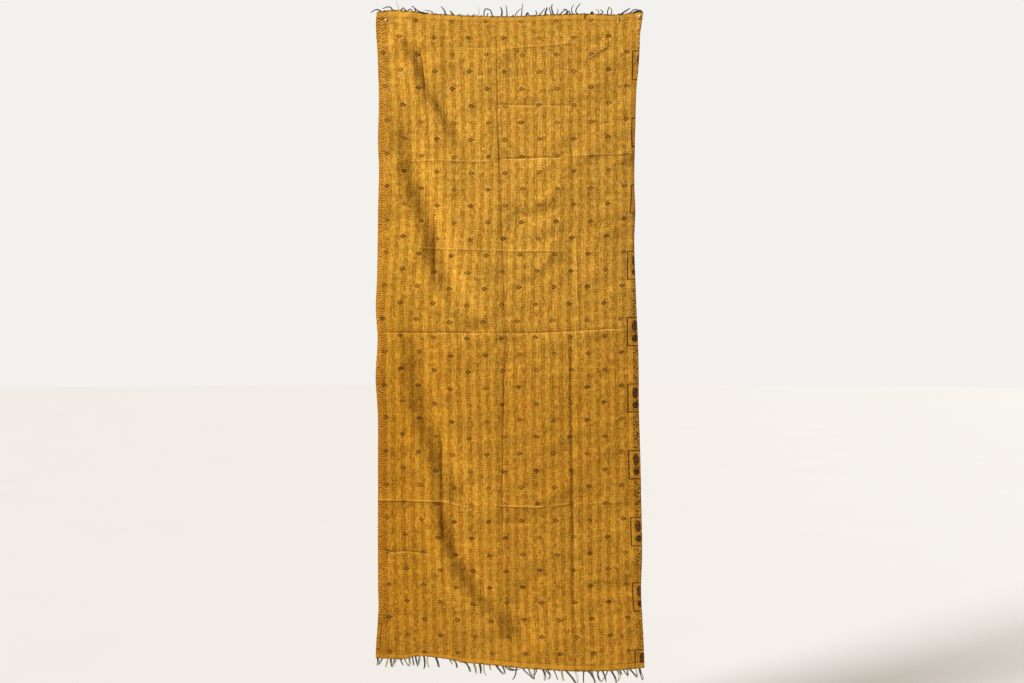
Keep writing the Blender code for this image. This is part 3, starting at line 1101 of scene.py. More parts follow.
@dataclass(frozen=True)
class Fleck:
    """Noise that lays one tone over the cloth, in patches or in flecks.

    Args:
        tone: their colour.
        cells: cells per metre.
        detail: how finely each cell is broken up.
        low: noise at which they begin.
        high: noise at which they are full.
        share: how strongly they show.
        down: factor down the cloth, less than 1 where they lie along the threads.
    """

    tone: tuple[float, ...]
    cells: float
    detail: float
    low: float
    high: float
    share: float
    down: float = 1.0


@dataclass(frozen=True)
class PrintedCotton(Finish):
    """Golden cotton with soft stripes, a bud lattice, and borders down both sides."""

    name: str = "golden printed cotton"
    roughness: float = 0.88
    sheen: float = 0.04
    specular: float = 0.12
    light: tuple[float, ...] = linear(208, 161, 61)
    dark: tuple[float, ...] = linear(190, 132, 32)
    bright: tuple[float, ...] = linear(232, 182, 80)
    orange: tuple[float, ...] = linear(190, 122, 24)
    red: tuple[float, ...] = linear(198, 116, 44)
    green: tuple[float, ...] = linear(172, 154, 44)
    rust: tuple[float, ...] = linear(132, 72, 6)
    side: tuple[float, ...] = linear(243, 238, 196)
    # pale is the painted highlight along the creases and the slanting fold
    pale: tuple[float, ...] = linear(240, 196, 104)
    hem: tuple[float, ...] = linear(232, 172, 62)
    # dot is the print's dots and also the painted shade along the creases and the slanting fold
    dot_and_shade: tuple[float, ...] = linear(138, 72, 2)
    green_dot: tuple[float, ...] = linear(128, 92, 8)
    deep: tuple[float, ...] = linear(236, 226, 184)
    brown: tuple[float, ...] = linear(70, 34, 10)
    olive: tuple[float, ...] = linear(88, 56, 14)
    ink: tuple[float, ...] = linear(44, 26, 6)
    maroon: tuple[float, ...] = linear(74, 34, 12)
    stripe_phase: float = 39.92
    dot_pitch: float = 0.0078
    mottle: tuple[Fleck, ...] = (
        Fleck(orange, 5.0, 4.0, 0.30, 0.72, 0.22),
        Fleck(green_dot, 9.0, 3.0, 0.48, 0.70, 0.16),
        Fleck(dot_and_shade, 170.0, 2.0, 0.50, 0.66, 0.50, 0.30),
        Fleck(red, 138.0, 2.0, 0.50, 0.66, 0.30, 0.30),
        Fleck(green, 112.0, 2.0, 0.52, 0.66, 0.30, 0.30),
        Fleck(bright, 130.0, 3.0, 0.50, 0.68, 0.52, 0.45),
    )
    grain_cells: float = 170.0
    row_pitch: float = 0.0543
    column_pitch: float = 0.111
    bud: float = 0.0050
    bud_line: float = 0.0012
    border_width: float = 0.0305
    mark_width: float = 0.0102
    mark_pitch: float = 0.0080
    corner_post: float = 0.0135
    corner_rails: tuple[float, float] = (1.978, 2.069)
    block_height: float = 0.092
    block_rows: float = 4.0
    block_start: float = 1.95
    rule: float = 0.0008
    hem_seam: float = 0.0165
    hem_stitch: float = 0.006
    # where the painted highlight and shade of the slanting fold lie
    lit_fold_place: tuple[float, float] = (0.6996, 0.140)
    slant: tuple[float, float] = (0.830, 0.558)
    lit_fold_ends: tuple[float, float] = (0.004, 0.071)

    def dress(self, wire: Wiring) -> dict[str, Socket]:
        """Wire the print from the ground up.

        Args:
            wire: the tree to wire in.

        Returns:
            The shader's colour and normal.
        """
        maps = Maps(wire)
        colour = self._ground(wire, maps)
        for layer in (self._mottle, self._left_border, self._blocks, self._buds, self._wear_and_painted_light):
            colour = layer(wire, colour, maps)
        return {"Base Color": colour, "Normal": wire.bump(Weave().height(wire, maps))}

    def _ground(self, wire: Wiring, maps: Maps) -> Socket:
        """Stripes of two dotted lines each.

        Args:
            wire: the tree to wire in.
            maps: the cloth's maps.

        Returns:
            The colour.
        """
        drift = wire.noise(maps.cloth, 14.0, 3.0, down=0.25)
        phase = wire.total(maps.stripe, wire.product(drift, 0.16), self.stripe_phase)
        inside = wire.math("ABSOLUTE", wire.math("SUBTRACT", wire.math("FRACT", phase), 0.5))
        faded = wire.patches(maps.cloth, 26.0, 3.0, 0.10, 0.50, down=0.5)
        band = wire.product(wire.smooth(inside, 0.31, 0.22), faded)
        streak = wire.noise(maps.cloth, 110.0, 2.0, down=0.12)
        tint = wire.product(band, wire.math("MULTIPLY_ADD", streak, 1.3, 0.25))
        colour = wire.blend(tint, self.light, self.dark)
        side = wire.math("FLOOR", wire.product(phase, 2.0))
        wander = wire.product(wire.noise(maps.cloth, 60.0, 1.0), 1.4)
        beat = wire.math("SINE", wire.total(
            wire.product(maps.down, math.tau / self.dot_pitch), wire.product(side, 2.1), wander))
        rows = wire.near(inside, 0.100, 0.085, 0.060)
        broken = wire.patches(maps.cloth, 120.0, 2.0, 0.34, 0.56)
        hue = wire.patches(maps.cloth, 60.0, 2.0, 0.40, 0.60, down=0.4)
        colour = wire.over(colour, wire.blend(hue, self.dot_and_shade, self.green_dot),
                           wire.smooth(beat, -0.35, 0.35), rows, broken, 0.78)
        return wire.over(colour, self.bright, wire.smooth(beat, -0.45, -0.95), rows, broken, 0.25)

    def _mottle(self, wire: Wiring, colour: Socket, maps: Maps) -> Socket:
        """Uneven dye, in patches, flecks and along both sets of threads.

        Args:
            wire: the tree to wire in.
            colour: the colour so far.
            maps: the cloth's maps.

        Returns:
            The colour.
        """
        for fleck in self.mottle:
            mask = wire.patches(maps.cloth, fleck.cells, fleck.detail, fleck.low, fleck.high,
                                down=fleck.down)
            colour = wire.over(colour, fleck.tone, mask, fleck.share)
        lengthwise = wire.noise(maps.cloth, self.grain_cells, 2.0, down=0.35)
        crosswise = wire.noise(maps.cloth, self.grain_cells, 2.0, across=0.30)
        return wire.shade(colour, wire.total(
            wire.product(lengthwise, 0.85), wire.product(crosswise, 0.65), 0.27))

    def _left_border(self, wire: Wiring, colour: Socket, maps: Maps) -> Socket:
        """Orange border of fine slanting marks down the left side.

        Args:
            wire: the tree to wire in.
            colour: the colour so far.
            maps: the cloth's maps.

        Returns:
            The colour.
        """
        across, down = maps.across, maps.down
        inside = wire.smooth(across, self.border_width + 0.0015, self.border_width)
        colour = wire.over(colour, self.orange, inside, 0.30)
        slant = wire.product(wire.math("PINGPONG", across, self.mark_width), 0.55)
        wander = wire.product(wire.noise(maps.cloth, 60.0, 2.0), 0.011)
        beat = wire.math("FRACT", wire.product(
            wire.total(down, slant, wander), 1.0 / self.mark_pitch))
        broken = wire.patches(maps.cloth, 120.0, 2.0, 0.36, 0.54)
        dark, light = wire.near(beat, 0.5, 0.20, 0.10), wire.near(beat, 0.0, 0.18, 0.12)
        colour = wire.over(colour, self.rust, inside, dark, broken, 0.95)
        colour = wire.over(colour, self.bright, inside, light, broken, 0.80)
        rule = wire.near(across, self.border_width, self.rule / 2.0, self.rule)
        colour = wire.over(colour, self.dot_and_shade, rule, broken, 0.35)
        upper, lower = self.corner_rails
        post = wire.product(wire.near(across, self.corner_post, 0.0009, 0.0006),
                            wire.between(down, upper, lower + 0.001, self.rule))
        rails = wire.product(
            wire.smooth(across, self.corner_post + 0.0010, self.corner_post + 0.0003),
            wire.most(*(wire.near(down, rail, 0.0009, 0.0006) for rail in self.corner_rails)))
        return wire.over(colour, self.ink, wire.most(post, rails), 0.85)

    def _blocks(self, wire: Wiring, colour: Socket, maps: Maps) -> Socket:
        """Outlined blocks with two dark sprigs each, down the right side.

        Args:
            wire: the tree to wire in.
            colour: the colour so far.
            maps: the cloth's maps.

        Returns:
            The colour.
        """
        turn = wire.product(wire.total(maps.row, 8.0 - self.block_start), 1.0 / self.block_rows)
        repeat = self.block_rows * self.row_pitch
        below = wire.product(wire.math("FRACT", turn), repeat)
        waver = wire.product(wire.noise(maps.cloth, 160.0, 2.0), 0.0010)
        place = wire.total(maps.right, waver, -0.0005)
        within = wire.between(below, 0.0, self.block_height, self.rule)
        ends = wire.most(*(wire.near(below, end, 0.0015, self.rule)
                           for end in (self.block_height, 0.0, repeat)))
        side = wire.smooth(place, -0.0010, 0.0002)
        lines = wire.most(wire.product(wire.near(place, 0.0, 0.0016, self.rule), within),
                          wire.product(ends, side))
        colour = wire.over(colour, self.orange, within, side, 0.15)
        printed = wire.patches(maps.cloth, 300.0, 2.0, 0.20, 0.42)
        colour = wire.over(colour, self.ink, lines, printed, 0.92)
        upper = self._sprig(wire, place, below, (0.0240, 0.0290), (0.0098, 0.0195))
        petals = wire.patches(maps.cloth, 220.0, 1.0, 0.24, 0.40)
        colour = wire.over(colour, self.maroon, upper, petals, 0.94)
        lower = self._sprig(wire, place, below, (0.0245, 0.0685), (0.0102, 0.0112))
        solid = wire.patches(maps.cloth, 420.0, 2.0, 0.20, 0.36)
        colour = wire.over(colour, self.ink, lower, solid, 0.93)
        between = wire.between(below, 0.101, 0.209, 0.006)
        scribble = wire.patches(maps.cloth, 170.0, 2.0, 0.50, 0.57, down=0.8)
        return wire.over(colour, self.brown, wire.smooth(place, 0.014, 0.019), between, scribble,
                         0.85)

    def _sprig(
        self, wire: Wiring, right: Socket, below: Socket,
        middle: tuple[float, float], radii: tuple[float, float],
    ) -> Socket:
        """Oval patch inside a block, 1 at its middle.

        Args:
            wire: the tree to wire in.
            right: metres right of the block's line.
            below: metres below the block's top.
            middle: the patch's middle, by the same measures.
            radii: half its width and half its height.

        Returns:
            The patch.
        """
        a = wire.product(wire.total(right, -middle[0]), 1.0 / radii[0])
        b = wire.product(wire.total(below, -middle[1]), 1.0 / radii[1])
        reach = wire.math("SQRT", wire.total(wire.product(a, a), wire.product(b, b)))
        return wire.smooth(reach, 1.12, 0.86)

    def _buds(self, wire: Wiring, colour: Socket, maps: Maps) -> Socket:
        """Small ring buds on a half-drop lattice, each printed a little differently.

        Args:
            wire: the tree to wire in.
            colour: the colour so far.
            maps: the cloth's maps.

        Returns:
            The colour.
        """
        number = wire.math("ROUND", maps.row)
        odd = wire.math("MODULO", wire.total(number, 8.0), 2.0)
        shifted = wire.math("MULTIPLY_ADD", odd, 0.5, wire.total(maps.column, -0.5))
        place = wire.math("ROUND", shifted)
        chance = wire.node("ShaderNodeTexWhiteNoise", noise_dimensions="3D")
        wire.feed(chance.inputs["Vector"], wire.join(place, number, 3.0))
        first, second, third = wire.parts(chance.outputs["Color"])
        right = wire.product(wire.math("SUBTRACT", shifted, place), self.column_pitch)
        right = wire.total(right, wire.product(first, 0.0040), -0.0020)
        below = wire.product(wire.math("SUBTRACT", maps.row, number), self.row_pitch)
        below = wire.total(below, wire.product(second, 0.0030), -0.0015)
        tall = wire.math("ABSOLUTE", below)
        oval = wire.math("SQRT", wire.total(wire.product(right, right, 0.90),
                                            wire.product(below, below, 1.10)))
        lozenge = wire.total(wire.product(wire.math("ABSOLUTE", right), 0.68),
                             wire.product(tall, 0.80))
        reach = wire.total(wire.product(oval, 0.55), wire.product(lozenge, 0.45))
        reach = wire.total(reach, wire.product(wire.noise(maps.cloth, 330.0, 2.0), 0.0016), -0.0008)
        ring = wire.near(reach, self.bud, self.bud_line, 0.0009)
        taper = wire.math("MULTIPLY_ADD", right, 0.30, tall)
        tail = wire.product(wire.smooth(taper, 0.0052, 0.0038), wire.smooth(right, 0.0052, 0.0060),
                            wire.smooth(right, 0.0120, 0.0104))
        stub = wire.product(wire.smooth(tall, 0.0020, 0.0010), wire.smooth(right, -0.0054, -0.0062),
                            wire.smooth(right, -0.0092, -0.0080), wire.smooth(third, 0.35, 0.65))
        core = wire.product(wire.smooth(reach, 0.0020, 0.0010), wire.smooth(first, 0.55, 0.75))
        bud = wire.product(wire.most(ring, tail, stub, core),
                           wire.patches(maps.cloth, 260.0, 2.0, 0.26, 0.42))
        strength = wire.math("MULTIPLY_ADD", chance.outputs["Value"], 0.28, 0.72)
        tone = wire.blend(wire.smooth(third, 0.45, 0.70), self.brown, self.olive)
        colour = wire.over(colour, self.dot_and_shade, wire.smooth(reach, self.bud, 0.0022), 0.45, strength)
        return wire.over(colour, tone, bud, strength)

    def _wear_and_painted_light(self, wire: Wiring, colour: Socket, maps: Maps) -> Socket:
        """Lighter turned hems with a darker seam, rubbed edges, painted highlight and shade on the
        creases, and a deeper tone low down and on the left.

        Args:
            wire: the tree to wire in.
            colour: the colour so far.
            maps: the cloth's maps.

        Returns:
            The colour.
        """
        across, down = maps.across, maps.down
        to_end = wire.math("MINIMUM", down, wire.math("SUBTRACT", LENGTH, down))
        colour = wire.over(colour, self.hem,
                           wire.smooth(to_end, self.hem_seam, self.hem_seam - 0.0020), 0.42)
        beat = wire.math("SINE", wire.product(across, math.tau / self.hem_stitch))
        colour = wire.over(colour, self.dot_and_shade, wire.near(to_end, self.hem_seam, 0.0007, 0.0012),
                           wire.smooth(beat, -0.5, 0.3), 0.55)
        to_side = wire.math("MINIMUM", across, wire.math("SUBTRACT", WIDTH, across))
        rim = wire.math("MINIMUM", to_side, to_end)
        rubbed_and_lit = wire.patches(maps.cloth, 90.0, 3.0, 0.40, 0.62)
        colour = wire.over(colour, self.dot_and_shade, wire.smooth(rim, 0.0035, 0.0005), rubbed_and_lit, 0.55)
        broken = wire.patches(maps.cloth, 60.0, 2.0, 0.42, 0.54)
        colour = wire.over(colour, self.brown, wire.smooth(to_end, 0.0046, 0.0018), broken, 0.72)
        colour = self._fold_highlight_and_shade(wire, colour, maps)
        # painted highlight on the lit side of each pressed crease, painted shade on the other
        crease_light_and_yarn_wear = wire.node("ShaderNodeAttribute", attribute_name="crease_light_and_yarn_wear").outputs["Fac"]
        patchy = wire.patches(maps.cloth, 80.0, 2.0, 0.30, 0.55)
        colour = wire.over(colour, self.pale, wire.smooth(crease_light_and_yarn_wear, 0.10, 1.0), patchy, 0.55)
        colour = wire.over(colour, self.dot_and_shade, wire.smooth(crease_light_and_yarn_wear, -0.10, -1.0), 0.50)
        # darker and deeper in tone towards the foot and on the left
        low = wire.product(wire.smooth(down, 0.80, 1.30), 0.95)
        left = wire.product(wire.smooth(across, 0.34, 0.06), wire.smooth(down, -0.3, 1.2))
        return wire.tint(wire.tint(colour, self.deep, low), self.side, left)

    def _fold_highlight_and_shade(self, wire: Wiring, colour: Socket, maps: Maps) -> Socket:
        """Painted highlight and painted shade along one short slanting fold near the upper right.

        Args:
            wire: the tree to wire in.
            colour: the colour so far.
            maps: the cloth's maps.

        Returns:
            The colour.
        """
        right, below = wire.total(maps.across, -self.lit_fold_place[0]), wire.total(maps.down, -self.lit_fold_place[1])
        along = wire.total(wire.product(right, self.slant[0]), wire.product(below, -self.slant[1]))
        beside = wire.total(wire.product(right, self.slant[1]), wire.product(below, self.slant[0]))
        inside = wire.between(along, *self.lit_fold_ends, 0.006)
        # painted highlight above the fold's ridge and painted shade below it
        for place, tone in ((-0.0015, self.pale), (0.0017, self.dot_and_shade)):
            line = wire.product(inside, wire.near(beside, place, 0.0009, 0.0012))
            colour = wire.over(colour, tone, line, 0.80)
        return colour


@dataclass(frozen=True)
class PlainReverse(Finish):
    """Plain unprinted backing layer, where the stripes show through faintly."""

    name: str = "plain golden backing"
    roughness: float = 0.92
    sheen: float = 0.04
    specular: float = 0.12
    ground: tuple[float, ...] = linear(196, 148, 72)
    stripe: tuple[float, ...] = linear(172, 122, 52)

    def dress(self, wire: Wiring) -> dict[str, Socket]:
        """Wire the colour and the weave.

        Args:
            wire: the tree to wire in.

        Returns:
            The shader's colour and normal.
        """
        maps = Maps(wire)
        wave = wire.math("COSINE", wire.product(maps.stripe, math.tau))
        colour = wire.blend(wire.smooth(wave, 0.4, -0.4), self.ground, self.stripe)
        colour = wire.blend(0.62, colour, self.ground)
        cloudy = wire.patches(maps.cloth, 6.0, 4.0, 0.35, 0.70)
        colour = wire.over(colour, self.stripe, cloudy, 0.35)
        threads = wire.noise(maps.cloth, 320.0, 3.0, down=0.08)
        colour = wire.shade(colour, wire.math("MULTIPLY_ADD", threads, 0.30, 0.85))
        return {"Base Color": colour, "Normal": wire.bump(Weave().height(wire, maps))}


@dataclass(frozen=True)
class QuiltingThread(Finish):
    """Matt cotton thread of the running stitches."""

    name: str = "golden quilting thread"
    roughness: float = 0.80
    sheen: float = 0.15
    pale: tuple[float, ...] = linear(222, 170, 78)
    deep: tuple[float, ...] = linear(190, 132, 48)
    fibre_height: float = 0.0002

    def dress(self, wire: Wiring) -> dict[str, Socket]:
        """Wire thread that changes tone from stitch to stitch, with a fine twist.

        Args:
            wire: the tree to wire in.

        Returns:
            The shader's colour and normal.
        """
        place = wire.place()
        fibres = wire.noise(wire.stretch(place, (3.0, 3.0, 1.0)), 900.0, 2.0)
        colour = wire.blend(wire.patches(place, 85.0, 2.0, 0.36, 0.62), self.pale, self.deep)
        colour = wire.shade(colour, wire.math("MULTIPLY_ADD", fibres, 0.5, 0.75))
        return {"Base Color": colour, "Normal": wire.bump(wire.product(fibres, self.fibre_height))}


@dataclass(frozen=True)
class FringeYarn(Finish):
    """Loose yarn ends, from green-black to a pale yellow-green by each yarn's own tone."""

    name: str = "green black yarn"
    roughness: float = 0.85
    sheen: float = 0.2
    black: tuple[float, ...] = linear(38, 40, 26)
    green: tuple[float, ...] = linear(92, 92, 50)
    pale: tuple[float, ...] = linear(196, 200, 140)
    twist_scale: float = 260.0
    twist_height: float = 0.00010
    fibre_height: float = 0.00025

    def dress(self, wire: Wiring) -> dict[str, Socket]:
        """Wire the tones and the twist of the yarn.

        Args:
            wire: the tree to wire in.

        Returns:
            The shader's colour and normal.
        """
        tone = wire.node("ShaderNodeAttribute", attribute_name="tone").outputs["Fac"]
        place = wire.place()
        fibres = wire.noise(wire.stretch(place, (2.0, 2.0, 1.0)), 700.0, 3.0)
        crease_light_and_yarn_wear = wire.total(tone, wire.product(fibres, 0.24), -0.12)
        colour = wire.blend(wire.smooth(crease_light_and_yarn_wear, 0.0, 0.55), self.black, self.green)
        colour = wire.blend(wire.smooth(crease_light_and_yarn_wear, 0.50, 0.95), colour, self.pale)
        twist = wire.node("ShaderNodeTexWave", bands_direction="DIAGONAL")
        wire.feed(twist.inputs["Vector"], place)
        twist.inputs["Scale"].default_value = self.twist_scale
        height = wire.total(wire.product(twist.outputs["Fac"], self.twist_height),
                            wire.product(fibres, self.fibre_height))
        return {"Base Color": colour, "Normal": wire.bump(height)}


@dataclass(frozen=True)
class PinPaint(Finish):
    """White lacquered pin head, a little dulled by handling."""

    name: str = "white pin lacquer"
    roughness: float = 0.35
    white: tuple[float, ...] = linear(240, 230, 218)
    dull: tuple[float, ...] = linear(214, 198, 180)
    dimple_height: float = 0.00006

    def dress(self, wire: Wiring) -> dict[str, Socket]:
        """Wire the lacquer, its dulled patches and its faint dimples.

        Args:
            wire: the tree to wire in.

        Returns:
            The shader's colour, roughness and normal.
        """
        place = wire.place()
        handled = wire.patches(place, 420.0, 3.0, 0.45, 0.70)
        dimples = wire.product(wire.noise(place, 900.0, 2.0), self.dimple_height)
        return {"Base Color": wire.blend(handled, self.white, self.dull),
                "Roughness": wire.math("MULTIPLY_ADD", handled, 0.25, self.roughness),
                "Normal": wire.bump(dimples)}


@dataclass(frozen=True)
class PaleFloor(Finish):
    """Pale studio floor."""

    name: str = "pale studio floor"
    roughness: float = 0.9
    tone: tuple[float, ...] = linear(219, 219, 221)

    def dress(self, wire: Wiring) -> dict[str, Socket]:
        """Wire a faint mottle into the floor and return its colour."""
        cloud = wire.noise(wire.place(), 1.3, 3.0)
        return {"Base Color": wire.shade(self.tone, wire.math("MULTIPLY_ADD", cloud, 0.04, 0.98))}


# ---- pieces ----


def add_piece(name: str, mesh: bpy.types.Mesh) -> bpy.types.Object:
    """Put a mesh in the scene as a piece.

    Args:
        name: the piece's name.
        mesh: its mesh.

    Returns:
        The piece.
    """
    piece = bpy.data.objects.new(name, mesh)
    bpy.context.scene.collection.objects.link(piece)
    return piece


def settle(piece: bpy.types.Object) -> bpy.types.Object:
    """Turn what a piece's modifiers make of it into its plain mesh.

    Args:
        piece: the piece.

    Returns:
        The same piece.
    """
    bpy.context.view_layer.update()
    graph = bpy.context.evaluated_depsgraph_get()
    mesh = bpy.data.meshes.new_from_object(piece.evaluated_get(graph), depsgraph=graph)
    piece.modifiers.clear()
    old, piece.data = piece.data, mesh
    bpy.data.meshes.remove(old)
    mesh.name = piece.name
    return piece


def take_in(piece: bpy.types.Object, slot: str, *nodes: str) -> bpy.types.Object:
    """Tie a finished piece to the frame.

    Args:
        piece: the finished piece.
        slot: the record's material slot for its finish; not used.
        nodes: the frame's nodes that it stands for.

    Returns:
        The piece.
    """
    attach(piece, BODY)
    if nodes:
        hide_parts(*nodes)
    log.info("%s: %d points, %d faces", piece.name, len(piece.data.vertices),
             len(piece.data.polygons))
    return piece


@dataclass
class QuiltedCloth:
    """The hung cloth: a printed layer and a plain backing with turned hems between."""

    form: HangingForm
    plan: PrintPlan
    columns: int = 144
    rows: int = 320
    edge_bands: tuple[tuple[float, float], ...] = ((0.010, 1.6), (0.016, 3.0))
    crease_band: tuple[float, float] = (0.0075, 3.6)
    fine_steps: int = 6001
    rounds: int = 3
    rim_round: float = 0.0006

    def stations(self, way: Way, count: int, size: float) -> Array:
        """Fractions at which the cloth is divided, closer together at its ends and creases.

        Args:
            way: the way that the dividing lines run.
            count: number of cells.
            size: the cloth's size across the lines.

        Returns:
            The fractions, from 0 to 1.
        """
        fine = np.linspace(0.0, size, self.fine_steps)
        reach, extra = self.edge_bands[0 if way is Way.DOWN else 1]
        density = 1.0 + extra * (np.exp(-((fine / reach) ** 2))
                                 + np.exp(-(((size - fine) / reach) ** 2)))
        reach, extra = self.crease_band
        for crease in PRESSED_CREASES:
            if crease.way is way:
                density += extra * np.exp(-(((fine - crease.home * size) / reach) ** 2))
        travelled = np.concatenate(([0.0], np.cumsum((density[1:] + density[:-1]) / 2.0)))
        targets = np.linspace(0.0, travelled[-1], count + 1)
        return np.interp(targets, travelled, fine) / size

    def follow(self, way: Way, even: Array, along: Array, start: Array | float,
               size: Array | float) -> Array:
        """Slide the dividing lines so that one runs along every pressed crease.

        Args:
            way: the way that the lines run.
            even: fractions of the straight lines.
            along: places along the lines.
            start: where fraction 0 lies.
            size: the distance from there to fraction 1.

        Returns:
            The new fractions.
        """
        creases = [crease for crease in PRESSED_CREASES if crease.way is way]
        knots = [0.0, *(crease.home for crease in creases), 1.0]
        moved = even.copy()
        for number, crease in enumerate(creases, start=1):
            share = np.interp(even, knots, np.eye(len(knots))[number])
            moved += share * ((crease.line(along) - start) / size - crease.home)
        return moved

    def grid(self) -> tuple[Array, Array]:
        """Fractions across and down of every point, row by row.

        Returns:
            The two lists of fractions.
        """
        even_v, even_u = np.meshgrid(self.stations(Way.ACROSS, self.rows, LENGTH),
                                     self.stations(Way.DOWN, self.columns, WIDTH), indexing="ij")
        u, v = even_u, even_v
        for _ in range(self.rounds):
            x, _ = self.form.outline(u, v)
            v = self.follow(Way.ACROSS, even_v, x, 0.0, LENGTH)
            left, right = LEFT_EDGE.at(v * LENGTH), RIGHT_EDGE.at(v * LENGTH)
            u = self.follow(Way.DOWN, even_u, v * LENGTH, left, right - left)
        return u.ravel(), v.ravel()

    def faces(self) -> Array:
        """Corners of every cell, looking forward.

        Returns:
            Four point numbers for each cell.
        """
        wide = self.columns + 1
        start = (np.arange(self.rows)[:, None] * wide + np.arange(self.columns)).ravel()
        return np.stack((start, start + wide, start + wide + 1, start + 1), axis=1)

    def lay_map(self, mesh: bpy.types.Mesh, name: str, across: Array, down: Array) -> None:
        """Give the mesh one of its maps from values at its points.

        Args:
            mesh: the mesh.
            name: the map's name.
            across: first value at each point.
            down: second value at each point.
        """
        corners = np.empty(len(mesh.loops), dtype=np.int32)
        mesh.loops.foreach_get("vertex_index", corners)
        layer = mesh.uv_layers.new(name=name)
        pairs = np.stack((across[corners], down[corners]), axis=1)
        layer.uv.foreach_set("vector", pairs.astype(np.float32).ravel())

    def build(self) -> bpy.types.Object:
        """Make the closed two-layer cloth with its maps and finishes.

        Returns:
            The finished piece.
        """
        u, v = self.grid()
        points = self.form.front(u, v)
        mesh = bpy.data.meshes.new("quilted_cloth")
        mesh.from_pydata(points.tolist(), [], self.faces().tolist())
        x, drop = points[:, 0], -points[:, 2]
        self.lay_map(mesh, "cloth", u * WIDTH, v * LENGTH)
        self.lay_map(mesh, "print", *self.plan.lattice(x, drop))
        self.lay_map(mesh, "border", *self.plan.border(x, drop))
        # painted highlight and shade along the pressed creases, read by the printed cotton
        crease_light_and_yarn_wear = mesh.attributes.new("crease_light_and_yarn_wear", "FLOAT", "POINT")
        crease_light_and_yarn_wear.data.foreach_set("value", self.form.crease_light(x, drop).astype(np.float32))
        mesh.materials.append(PrintedCotton().build())
        mesh.materials.append(PlainReverse().build())
        mesh.shade_smooth()
        cloth = add_piece("quilted_cloth", mesh)
        layers = cloth.modifiers.new("two layers", "SOLIDIFY")
        layers.thickness = THICKNESS
        layers.offset = -1.0
        layers.material_offset = 1
        layers.material_offset_rim = 0
        turned = cloth.modifiers.new("turned rim", "BEVEL")
        turned.width = self.rim_round
        turned.segments = 2
        turned.limit_method = "ANGLE"
        turned.angle_limit = math.radians(60.0)
        return settle(cloth)


class NodeRecipe:
    """A Geometry Nodes tree with named inputs, run once on a piece."""

    def __init__(self, name: str) -> None:
        """Start the tree with the geometry that goes in and comes out.

        Args:
            name: the tree's name.
        """
        self.tree = bpy.data.node_groups.new(name, "GeometryNodeTree")
        self.wire = Wiring(self.tree)
        self.sockets: dict[str, str] = {}
        face = self.tree.interface
        face.new_socket(name="Geometry", in_out="INPUT", socket_type="NodeSocketGeometry")
        face.new_socket(name="Geometry", in_out="OUTPUT", socket_type="NodeSocketGeometry")
        self.start = self.wire.node("NodeGroupInput")
        self.end = self.wire.node("NodeGroupOutput")

    def ask(self, name: str, kind: str) -> Socket:
        """Add a named input and return the socket that carries it.

        Args:
            name: its name.
            kind: its socket type.

        Returns:
            The socket.
        """
        made = self.tree.interface.new_socket(name=name, in_out="INPUT", socket_type=kind)
        self.sockets[name] = made.identifier
        return self.start.outputs[name]

    def attribute(self, name: str, kind: str) -> Socket:
        """Read one of the points' own values.

        Args:
            name: the value's name.
            kind: its data type.

        Returns:
            The socket.
        """
        made = self.wire.node("GeometryNodeInputNamedAttribute", data_type=kind)
        made.inputs["Name"].default_value = name
        return made.outputs["Attribute"]

    def finish(self, shape: Socket, material: Socket) -> None:
        """End the tree: real geometry, smooth, with its material.

        Args:
            shape: the geometry so far.
            material: the socket that gives its material.
        """
        real = self.wire.node("GeometryNodeRealizeInstances")
        smooth = self.wire.node("GeometryNodeSetShadeSmooth")
        dressed = self.wire.node("GeometryNodeSetMaterial")
        self.wire.feed(smooth.inputs["Geometry"], shape)
        self.wire.feed(real.inputs["Geometry"], smooth.outputs["Geometry"])
        self.wire.feed(dressed.inputs["Geometry"], real.outputs["Geometry"])
        self.wire.feed(dressed.inputs["Material"], material)
        self.wire.feed(self.end.inputs["Geometry"], dressed.outputs["Geometry"])

    def run(self, piece: bpy.types.Object, **values: object) -> bpy.types.Object:
        """Apply the tree to a piece with values for its inputs.

        Args:
            piece: the piece.
            values: the inputs by name.

        Returns:
            The finished piece.
        """
        modifier = piece.modifiers.new(self.tree.name, "NODES")
        modifier.node_group = self.tree
        for name, value in values.items():
            modifier[self.sockets[name.replace("_", " ")]] = value
        return settle(piece)


def points_mesh(name: str, points: Array, edges: list, **values: Array) -> bpy.types.Mesh:
    """Mesh of bare points and edges that carry their own values.

    Args:
        name: the mesh's name.
        points: their places.
        edges: pairs of points.
        values: one array for each value, of numbers or of vectors.

    Returns:
        The mesh.
    """
    mesh = bpy.data.meshes.new(name)
    mesh.from_pydata(points.tolist(), edges, [])
    for title, data in values.items():
        kind, key = ("FLOAT", "value") if data.ndim == 1 else ("FLOAT_VECTOR", "vector")
        layer = mesh.attributes.new(title, kind, "POINT")
        layer.data.foreach_set(key, data.astype(np.float32).ravel())
    return mesh


